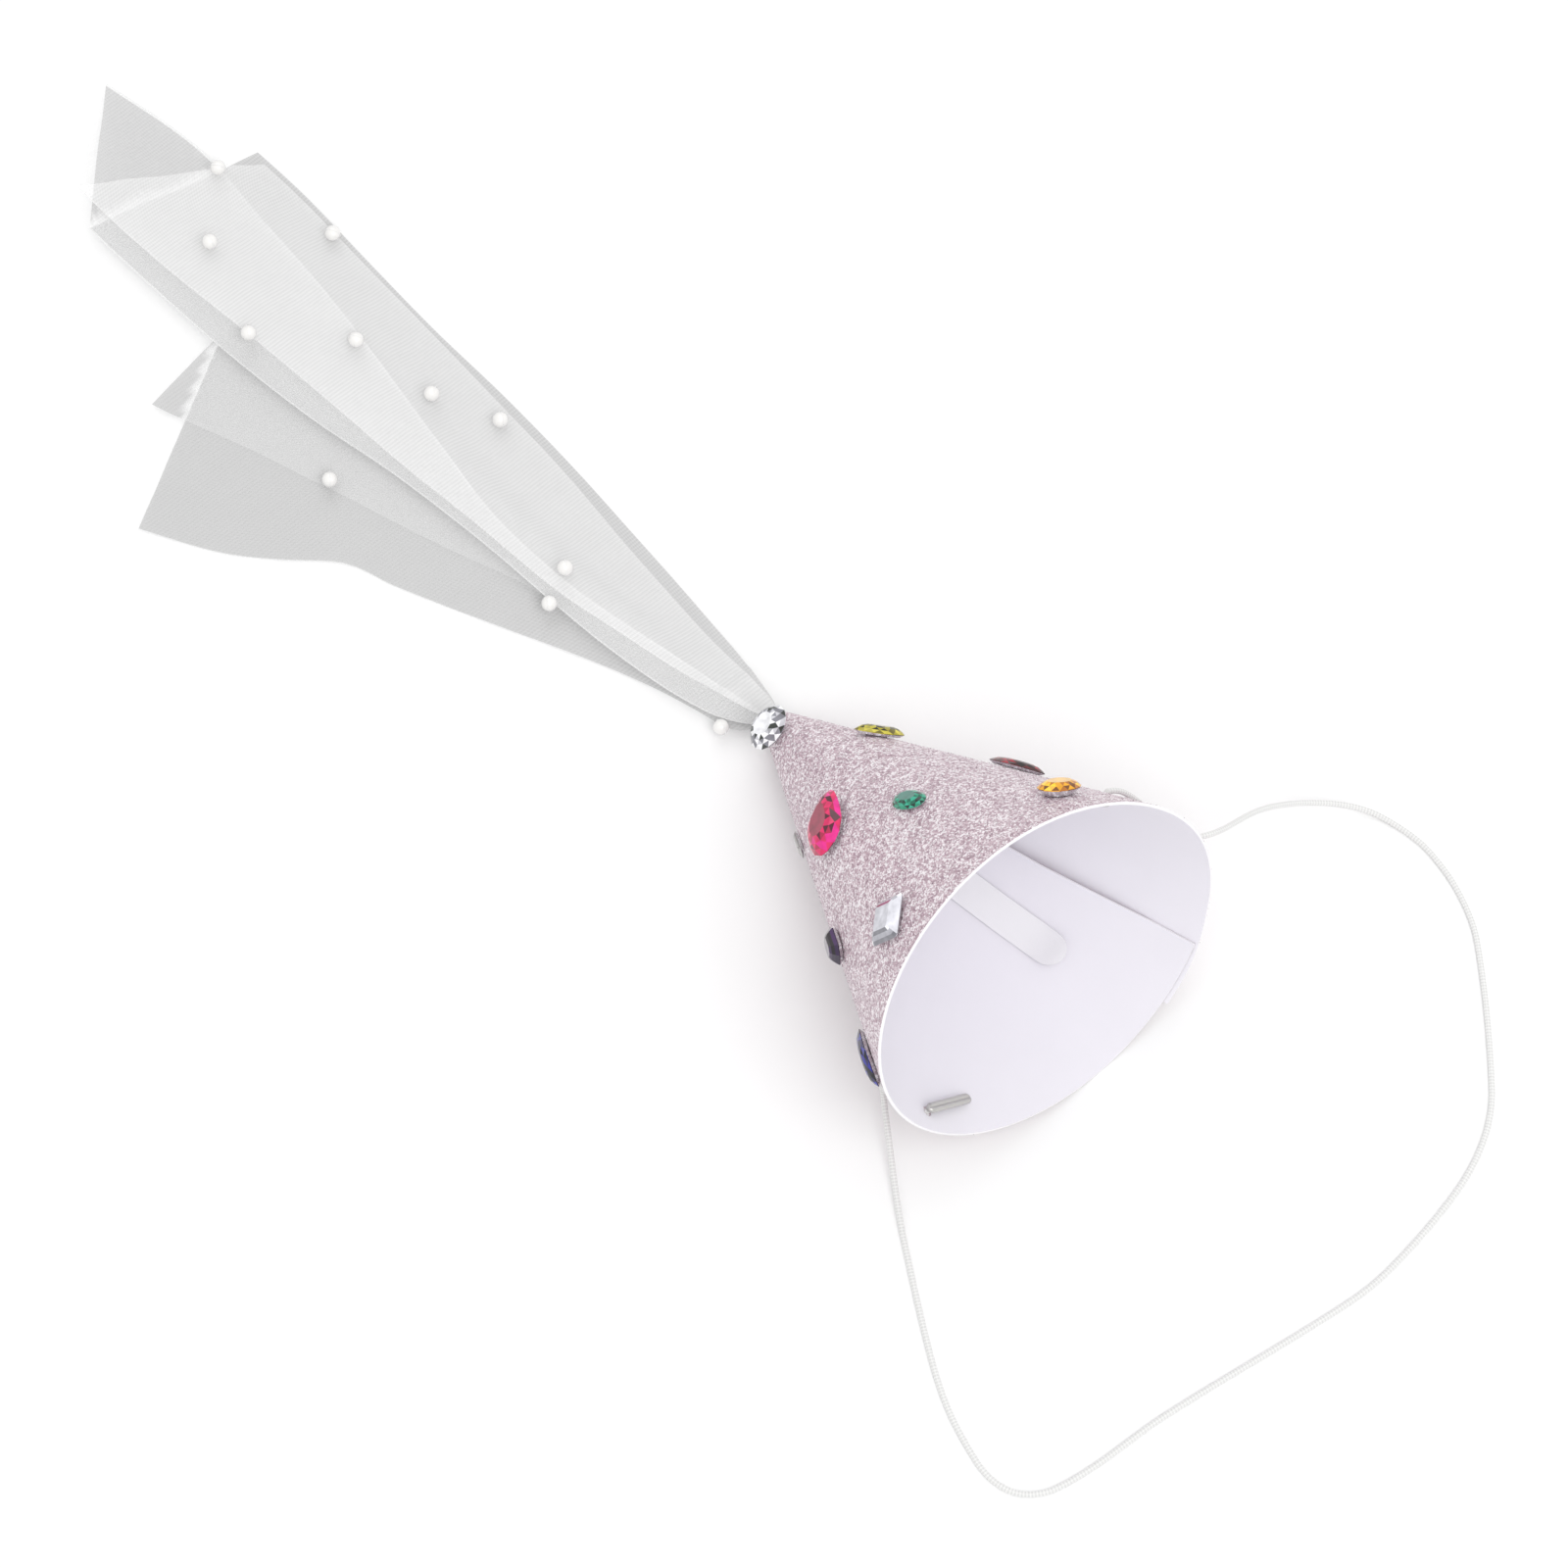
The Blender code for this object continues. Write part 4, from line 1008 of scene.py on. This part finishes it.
def pearl_tree():
    """Places a pearl with a ring of sewing thread round it at every point."""
    tree, start, end = new_tree("GeometryNodeTree", "sewn pearls", (
        ("Geometry", "NodeSocketGeometry", None), ("Diameter", "NodeSocketFloat", 0.0046),
        ("Seed", "NodeSocketInt", 2), ("Material", "NodeSocketMaterial", None),
        ("Thread", "NodeSocketMaterial", None)), (("Geometry", "NodeSocketGeometry"),))
    links = tree.links
    points = add(tree, "GeometryNodeMeshToPoints")
    links.new(start.outputs["Geometry"], points.inputs["Mesh"])
    radius = add(tree, "ShaderNodeMath", operation="MULTIPLY")
    links.new(start.outputs["Diameter"], radius.inputs[0])
    radius.inputs[1].default_value = 0.5
    ball = add(tree, "GeometryNodeMeshUVSphere")
    ball.inputs["Segments"].default_value = 32
    ball.inputs["Rings"].default_value = 20
    links.new(radius.outputs[0], ball.inputs["Radius"])
    smooth = add(tree, "GeometryNodeSetShadeSmooth")
    links.new(ball.outputs["Mesh"], smooth.inputs["Geometry"])
    painted = add(tree, "GeometryNodeSetMaterial")
    links.new(smooth.outputs["Geometry"], painted.inputs["Geometry"])
    links.new(start.outputs["Material"], painted.inputs["Material"])
    path = add(tree, "GeometryNodeCurvePrimitiveCircle")
    path.inputs["Resolution"].default_value = 28
    wide = add(tree, "ShaderNodeMath", operation="MULTIPLY")
    links.new(start.outputs["Diameter"], wide.inputs[0])
    wide.inputs[1].default_value = 0.515
    links.new(wide.outputs[0], path.inputs["Radius"])
    profile = add(tree, "GeometryNodeCurvePrimitiveCircle")
    profile.inputs["Resolution"].default_value = 6
    profile.inputs["Radius"].default_value = 0.00009
    thread = add(tree, "GeometryNodeCurveToMesh")
    links.new(path.outputs["Curve"], thread.inputs["Curve"])
    links.new(profile.outputs["Curve"], thread.inputs["Profile Curve"])
    upright = add(tree, "GeometryNodeTransform")
    links.new(thread.outputs["Mesh"], upright.inputs["Geometry"])
    upright.inputs["Rotation"].default_value = (math.pi / 2, 0.0, 0.0)
    threaded = add(tree, "GeometryNodeSetMaterial")
    links.new(upright.outputs["Geometry"], threaded.inputs["Geometry"])
    links.new(start.outputs["Thread"], threaded.inputs["Material"])
    both = add(tree, "GeometryNodeJoinGeometry")
    links.new(painted.outputs["Geometry"], both.inputs["Geometry"])
    links.new(threaded.outputs["Geometry"], both.inputs["Geometry"])
    turn = add(tree, "FunctionNodeRandomValue", data_type="FLOAT_VECTOR")
    turn.inputs["Min"].default_value = (-0.4, -0.4, 0.0)
    turn.inputs["Max"].default_value = (0.4, 0.4, 3.1)
    links.new(start.outputs["Seed"], turn.inputs["Seed"])
    placed = add(tree, "GeometryNodeInstanceOnPoints")
    links.new(points.outputs["Points"], placed.inputs["Points"])
    links.new(both.outputs["Geometry"], placed.inputs["Instance"])
    links.new(turn.outputs[0], placed.inputs["Rotation"])
    real = add(tree, "GeometryNodeRealizeInstances")
    links.new(placed.outputs["Instances"], real.inputs["Geometry"])
    links.new(real.outputs["Geometry"], end.inputs["Geometry"])
    return tree


class PARTYHAT_OT_pearls(bpy.types.Operator):
    """Sew the pearls onto the top of the veil"""
    bl_idname = "partyhat.pearls"
    bl_label = "Pearls"

    def execute(self, context):
        veil = context.scene.party_hat_veil
        depsgraph = context.evaluated_depsgraph_get()
        trees = [BVHTree.FromObject(bpy.data.objects[name], depsgraph)
                 for name in ("veil_lower_sheet", "veil_upper_sheet")]
        clear = veil.pearl / 2 + 0.0001
        mesh = bpy.data.meshes.new("pearl_places")
        places = []
        for node, along, across in PEARLS:
            x, y = (TIP_X - along) * MM, (TIP_Y + across) * MM
            best = clear
            for ring in (0.0, 0.4, 0.7, 0.9, 1.0):
                for i in range(24):
                    angle = math.radians(i * 15.0)
                    off_x, off_y = clear * ring * math.cos(angle), clear * ring * math.sin(angle)
                    start = Vector((x + off_x, y + off_y, 0.05))
                    for surface in trees:
                        hit = surface.ray_cast(start, Vector((0.0, 0.0, -1.0)))[0]
                        if hit is not None:
                            best = max(best, hit.z + clear * math.sqrt(1.0 - ring * ring))
            places.append((x, y, best))
        mesh.from_pydata(places, [], [])
        bed = link("pearl_places", mesh)
        sewn = bed.modifiers.new("pearls", "NODES")
        sewn.node_group = pearl_tree()
        thread, _, _ = new_material("sewing thread", (0.88, 0.88, 0.88), 0.8)
        set_input(bed, sewn, "Diameter", veil.pearl)
        set_input(bed, sewn, "Seed", 2)
        set_input(bed, sewn, "Material", pearl_material(veil))
        set_input(bed, sewn, "Thread", thread)
        finish_piece(plain_copy(bed, "sewn_pearls"), "pearl", *[row[0] for row in PEARLS])
        return {"FINISHED"}


def stone_outline(cut):
    """Corners of a stone of length 2 and width 2."""
    if cut == "octagon":
        return [(1.0, 0.45), (0.6, 1.0), (-0.6, 1.0), (-1.0, 0.45), (-1.0, -0.45), (-0.6, -1.0),
                (0.6, -1.0), (1.0, -0.45)]
    if cut == "step":
        return [(1.0, 0.86), (0.88, 1.0), (-0.88, 1.0), (-1.0, 0.86), (-1.0, -0.86),
                (-0.88, -1.0), (0.88, -1.0), (1.0, -0.86)]
    corners = []
    for i in range(16):
        angle = 2.0 * math.pi * i / 16
        x, y = math.cos(angle), math.sin(angle)
        if cut == "navette":
            y *= 1.0 - 0.30 * abs(x)
        elif cut == "drop" and x > -0.15:
            y *= 1.0 - 0.42 * (x + 0.15)
        corners.append((x, y))
    return corners


def stone_levels(cut):
    """Height, scale and shift of each ring from the silvered back to the table."""
    if cut in ("octagon", "step"):
        return ((0.0, 0.84, 0.0), (0.26, 0.99, 0.0), (0.33, 1.0, 0.0), (0.60, 0.86, 0.0), (0.84, 0.70, 0.0),
                (1.0, 0.54, 0.0))
    if cut == "high oval":
        return ((0.0, 0.70, 0.0), (0.46, 0.99, 0.0), (0.53, 1.0, 0.0), (0.80, 0.84, 0.5), (1.0, 0.56, 0.0))
    return ((0.0, 0.84, 0.0), (0.26, 0.99, 0.0), (0.33, 1.0, 0.0), (0.62, 0.88, 0.5), (0.85, 0.72, 0.0),
            (1.0, 0.52, 0.5))


def cut_stone(name, cut, length, width, height, seed):
    """Facets ring by ring. Material 0 is the stone and 1 the silvered back and lower bevel."""
    pick = random.Random(seed)
    outline = stone_outline(cut)
    count = len(outline)
    bm = bmesh.new()
    facet = bm.faces.layers.float.new("facet")
    rings = []
    for level, scale, shift in stone_levels(cut):
        ring = []
        for i, (x, y) in enumerate(outline):
            next_x, next_y = outline[(i + 1) % count]
            x, y = x + (next_x - x) * shift, y + (next_y - y) * shift
            ring.append(bm.verts.new((x * scale * length / 2 * MM, y * scale * width / 2 * MM,
                                      level * height * MM)))
        rings.append((ring, shift))
    for step, ((low, a), (high, b)) in enumerate(zip(rings, rings[1:])):
        for i in range(count):
            n = (i + 1) % count
            if a == b:
                shapes = [(low[i], low[n], high[n], high[i])]
            elif b > a:
                shapes = [(low[i], low[n], high[i]), (high[i], low[n], high[n])]
            else:
                shapes = [(low[i], high[n], high[i]), (low[i], low[n], high[n])]
            for shape in shapes:
                face = bm.faces.new(shape)
                face[facet] = pick.random() * 0.89
                face.material_index = 1 if step == 0 else 0
    back = bm.faces.new(list(reversed(rings[0][0])))
    back.material_index = 1
    table = bm.faces.new(rings[-1][0])
    table[facet] = 0.95
    bmesh.ops.recalc_face_normals(bm, faces=bm.faces)
    mesh = bpy.data.meshes.new(name)
    bm.to_mesh(mesh)
    bm.free()
    return mesh


def frame_from(normal, long_side):
    """Rotation whose Z is the normal and whose X lies along the long side."""
    z = Vector(normal).normalized()
    x = Vector(long_side)
    x = (x - z * x.dot(z)).normalized()
    return Matrix((x, z.cross(x), z)).transposed().to_4x4()


class PARTYHAT_OT_stones(bpy.types.Operator):
    """Glue the flat-backed stones on the card and the clear one over the cut point"""
    bl_idname = "partyhat.stones"
    bl_label = "Stones"

    def execute(self, context):
        trim = context.scene.party_hat_trim
        foil = metal_material("silver foil", trim.foil, 0.28)
        for node, cut, length, width, height, slant, angle, turn, tilt, seed in STONES:
            normal = wall_normal(slant, angle)
            along = Matrix.Rotation(math.radians(turn), 3, normal) @ wall_direction(angle)
            tipped = Matrix.Rotation(math.radians(tilt), 3, along) @ normal
            rise = 0.3 + width / 2 * abs(math.sin(math.radians(tilt)))
            place = wall_point(slant, angle) + normal * rise
            mesh = cut_stone(node + "_cut", cut, length, width, height, seed)
            mesh.transform(Matrix.Translation(place * MM) @ frame_from(tipped, along))
            item = link(node + "_cut", mesh, stone_material(node, trim), foil)
            finish_piece(item, STONE_SLOTS[node], node)
        length, width, height = TIP_STONE_SIZE
        mesh = cut_stone("stone_clear_tip_cut", "oval", length, width, height, 11)
        place = Vector(TIP_STONE_PLACE) + Vector((TIP_X, TIP_Y, 0.0))
        mesh.transform(Matrix.Translation(place * MM) @ frame_from(TIP_STONE_FACES, TIP_STONE_LONG))
        item = link("stone_clear_tip_cut", mesh, stone_material("stone_clear_tip", trim), foil)
        finish_piece(item, "clear_stone", "stone_clear_tip")
        return {"FINISHED"}


def crimped_bar():
    """A round-ended bar with a groove down its face, along X."""
    radius = METAL_TIP_WIDTH / 2
    bm = bmesh.new()
    loops = []
    for i in range(33):
        share = -1.0 + 2.0 * i / 32.0
        over = min(1.0, max(0.0, abs(share) - 0.84) / 0.16)
        scale = max(0.10, math.sqrt(1.0 - over * over))
        ring = []
        for k in range(32):
            angle = 2.0 * math.pi * k / 32
            groove = 0.55 * math.exp(-((angle - math.pi / 2) / 0.30) ** 2) * (1.0 if over < 0.5 else 0.4)
            reach = radius * scale * (1.0 - groove)
            rise = reach * math.sin(angle) * METAL_TIP_HIGH / METAL_TIP_WIDTH
            ring.append(bm.verts.new(Vector((share * METAL_TIP / 2, reach * math.cos(angle), rise)) * MM))
        loops.append(ring)
    for low, high in zip(loops, loops[1:]):
        for k in range(32):
            bm.faces.new((low[k], low[(k + 1) % 32], high[(k + 1) % 32], high[k]))
    bm.faces.new(loops[0])
    bm.faces.new(list(reversed(loops[-1])))
    bmesh.ops.recalc_face_normals(bm, faces=bm.faces)
    mesh = bpy.data.meshes.new("crimped_bar")
    bm.to_mesh(mesh)
    bm.free()
    mesh.shade_smooth()
    return mesh


class PARTYHAT_OT_metal_tips(bpy.types.Operator):
    """Place the crimped metal tips of the elastic against the inside of the wall"""
    bl_idname = "partyhat.metal_tips"
    bl_label = "Metal tips"

    def execute(self, context):
        trim = context.scene.party_hat_trim
        metal = metal_material("crimped metal", trim.metal, 0.32)
        thickness = context.scene.party_hat_card.thickness
        for node, slant, angle, skew in METAL_TIPS:
            mesh = crimped_bar()
            normal = wall_normal(slant, angle)
            rim_side = wall_direction(angle).cross(normal)
            along = Matrix.Rotation(math.radians(skew), 3, normal) @ rim_side
            curve = METAL_TIP ** 2 / 8.0 / (slant * math.sin(math.radians(HALF_ANGLE)))
            place = wall_point(slant, angle) - normal * (thickness + LAP_GAP + METAL_TIP_HIGH / 2 + curve)
            mesh.transform(Matrix.Translation(place * MM) @ frame_from(-normal, along))
            finish_piece(link(node + "_crimped", mesh, metal), "steel_tip", node)
        return {"FINISHED"}


def hole_run(hole):
    middle, normal = wall_point(*hole), wall_normal(*hole)
    return [middle - normal * CORD_START, middle + normal * 0.5]


def cord_route():
    origin = Vector((TIP_X, TIP_Y, 0.0))
    route = hole_run(NEAR_HOLE)
    route += [origin + Vector(p) for p in CORD_NEAR]
    route += [origin + Vector((x, y, CORD / 2)) for x, y in CORD_LAID]
    route += [origin + Vector(p) for p in CORD_FAR]
    for slant, angle, off in CORD_WALL:
        route.append(wall_point(slant, angle) + wall_normal(slant, angle) * off)
    route += reversed(hole_run(FAR_HOLE))
    return route


def smooth_line(route, per_span):
    """Points on a curve through the route."""
    points = []
    for i in range(len(route) - 1):
        before = route[max(0, i - 1)]
        a, b = route[i], route[i + 1]
        after = route[min(len(route) - 1, i + 2)]
        reach = (b - a).length
        slope_a = (b - before) / max(1e-6, (b - a).length + (a - before).length) * reach
        slope_b = (after - a) / max(1e-6, (after - b).length + (b - a).length) * reach
        for k in range(per_span):
            t = k / per_span
            points.append(a * (2 * t ** 3 - 3 * t ** 2 + 1) + slope_a * (t ** 3 - 2 * t ** 2 + t)
                          + b * (3 * t ** 2 - 2 * t ** 3) + slope_b * (t ** 3 - t ** 2))
    points.append(route[-1])
    return points


def tube_mesh(name, line, radius, sides):
    """A closed round tube along a line in metres, with a UV map in metres."""
    bm = bmesh.new()
    uv = bm.loops.layers.uv.new("UVMap")
    side = Vector((0.0, 0.0, 1.0))
    loops, runs, run = [], [], 0.0
    for i, point in enumerate(line):
        ahead = (line[min(i + 1, len(line) - 1)] - line[max(i - 1, 0)]).normalized()
        side = (side - ahead * side.dot(ahead)).normalized()
        other = ahead.cross(side)
        loops.append([bm.verts.new(point + (side * math.cos(2 * math.pi * k / sides)
                                            + other * math.sin(2 * math.pi * k / sides)) * radius)
                      for k in range(sides)])
        if i:
            run += (point - line[i - 1]).length
        runs.append(run)
    for i in range(len(loops) - 1):
        for k in range(sides):
            n = (k + 1) % sides
            face = bm.faces.new((loops[i][k], loops[i][n], loops[i + 1][n], loops[i + 1][k]))
            girth = 2 * math.pi * radius / sides
            corners = ((k, i), (k + 1, i), (k + 1, i + 1), (k, i + 1))
            for loop, (around, row) in zip(face.loops, corners):
                loop[uv].uv = (around * girth, runs[row])
    bm.faces.new(loops[0])
    bm.faces.new(list(reversed(loops[-1])))
    bmesh.ops.recalc_face_normals(bm, faces=bm.faces)
    mesh = bpy.data.meshes.new(name)
    bm.to_mesh(mesh)
    bm.free()
    mesh.shade_smooth()
    return mesh, run


class PARTYHAT_OT_elastic(bpy.types.Operator):
    """Lay the chin elastic in one loose loop from hole to hole"""
    bl_idname = "partyhat.elastic"
    bl_label = "Elastic"

    def execute(self, context):
        trim = context.scene.party_hat_trim
        line = [Vector((p.x, p.y, max(p.z, CORD / 2))) * MM for p in smooth_line(cord_route(), 12)]
        mesh, length = tube_mesh("elastic_loop", line, CORD / 2 * MM, 12)
        item = link("elastic_loop", mesh, elastic_material(trim))
        finish_piece(item, "white_elastic", "elastic_cord")
        return {"FINISHED"}


def area_light(name, place, aim, size, power):
    data = bpy.data.lights.new(name, "AREA")
    data.shape = "DISK"
    data.size = size
    data.energy = power
    lamp = bpy.data.objects.new(name, data)
    lamp.location = place
    lamp.rotation_mode = "QUATERNION"
    lamp.rotation_quaternion = (Vector(aim) - Vector(place)).to_track_quat("-Z", "Y")
    bpy.context.scene.collection.objects.link(lamp)
    return lamp


class PARTYHAT_OT_stage(bpy.types.Operator):
    """Set the pale floor, the soft light and the camera"""
    bl_idname = "partyhat.stage"
    bl_label = "Stage"

    def execute(self, context):
        stage = context.scene.party_hat_stage
        mesh = bpy.data.meshes.new("floor")
        half = 4.0
        corners = [(-half, -half, 0), (half, -half, 0), (half, half, 0), (-half, half, 0)]
        mesh.from_pydata(corners, [], [(0, 1, 2, 3)])
        material, tree, shader = new_material("pale floor", stage.floor, 0.9)
        shader.inputs["Specular IOR Level"].default_value = 0.1
        link("floor", mesh, material)
        world = bpy.data.worlds.new("soft room")
        world.use_nodes = True
        world.node_tree.nodes["Background"].inputs["Color"].default_value = (1.0, 1.0, 1.0, 1.0)
        world.node_tree.nodes["Background"].inputs["Strength"].default_value = stage.sky
        context.scene.world = world
        area_light("key", (0.9, -0.1, 1.6), (0.08, 0.0, 0.0), 1.2, stage.key)
        area_light("fill", (-0.9, 0.6, 1.4), (0.0, 0.0, 0.0), 1.4, stage.key * 0.35)
        context.scene.view_settings.view_transform = "Standard"
        camera = bpy.data.cameras.new("camera")
        camera.lens = stage.lens
        camera.sensor_width = CAMERA_SENSOR
        camera.clip_end = 20.0
        item = bpy.data.objects.new("camera", camera)
        back = (Vector(CAMERA_PLACE) - Vector(CAMERA_AIM)).normalized()
        up = Vector(CAMERA_UP)
        up = (up - back * up.dot(back)).normalized()
        item.matrix_world = (Matrix.Translation(CAMERA_PLACE)
                             @ Matrix((up.cross(back), up, back)).transposed().to_4x4())
        context.scene.collection.objects.link(item)
        context.scene.camera = item
        return {"FINISHED"}


class PARTYHAT_PT_panel(bpy.types.Panel):
    """Sizes, colours and the steps that build the hat"""
    bl_label = "Party hat"
    bl_idname = "PARTYHAT_PT_panel"
    bl_space_type = "VIEW_3D"
    bl_region_type = "UI"
    bl_category = "Party hat"

    def draw(self, context):
        for name in ("party_hat_card", "party_hat_veil", "party_hat_trim", "party_hat_stage"):
            box = self.layout.box()
            group = getattr(context.scene, name)
            for key in group.__annotations__:
                box.prop(group, key)
        for operator in OPERATORS:
            self.layout.operator(operator.bl_idname)


SETTINGS = (
    ("party_hat_card", PartyHatCard), ("party_hat_veil", PartyHatVeil),
    ("party_hat_trim", PartyHatTrim), ("party_hat_stage", PartyHatStage),
)
OPERATORS = (
    PARTYHAT_OT_stage, PARTYHAT_OT_card, PARTYHAT_OT_flakes, PARTYHAT_OT_tongue, PARTYHAT_OT_veil,
    PARTYHAT_OT_pearls, PARTYHAT_OT_stones, PARTYHAT_OT_metal_tips, PARTYHAT_OT_elastic,
)


def register():
    for name, group in SETTINGS:
        bpy.utils.register_class(group)
        setattr(bpy.types.Scene, name, bpy.props.PointerProperty(type=group))
    for item in OPERATORS + (PARTYHAT_PT_panel,):
        bpy.utils.register_class(item)


def unregister():
    for item in (PARTYHAT_PT_panel,) + OPERATORS[::-1]:
        bpy.utils.unregister_class(item)
    for name, group in SETTINGS[::-1]:
        delattr(bpy.types.Scene, name)
        bpy.utils.unregister_class(group)


def main():
    register()
    bpy.ops.partyhat.stage()
    bpy.ops.partyhat.card()
    bpy.ops.partyhat.flakes()
    bpy.ops.partyhat.tongue()
    bpy.ops.partyhat.veil()
    bpy.ops.partyhat.pearls()
    bpy.ops.partyhat.stones()
    bpy.ops.partyhat.metal_tips()
    bpy.ops.partyhat.elastic()
    bpy.context.view_layer.update()


if __name__ == "__main__":
    main()
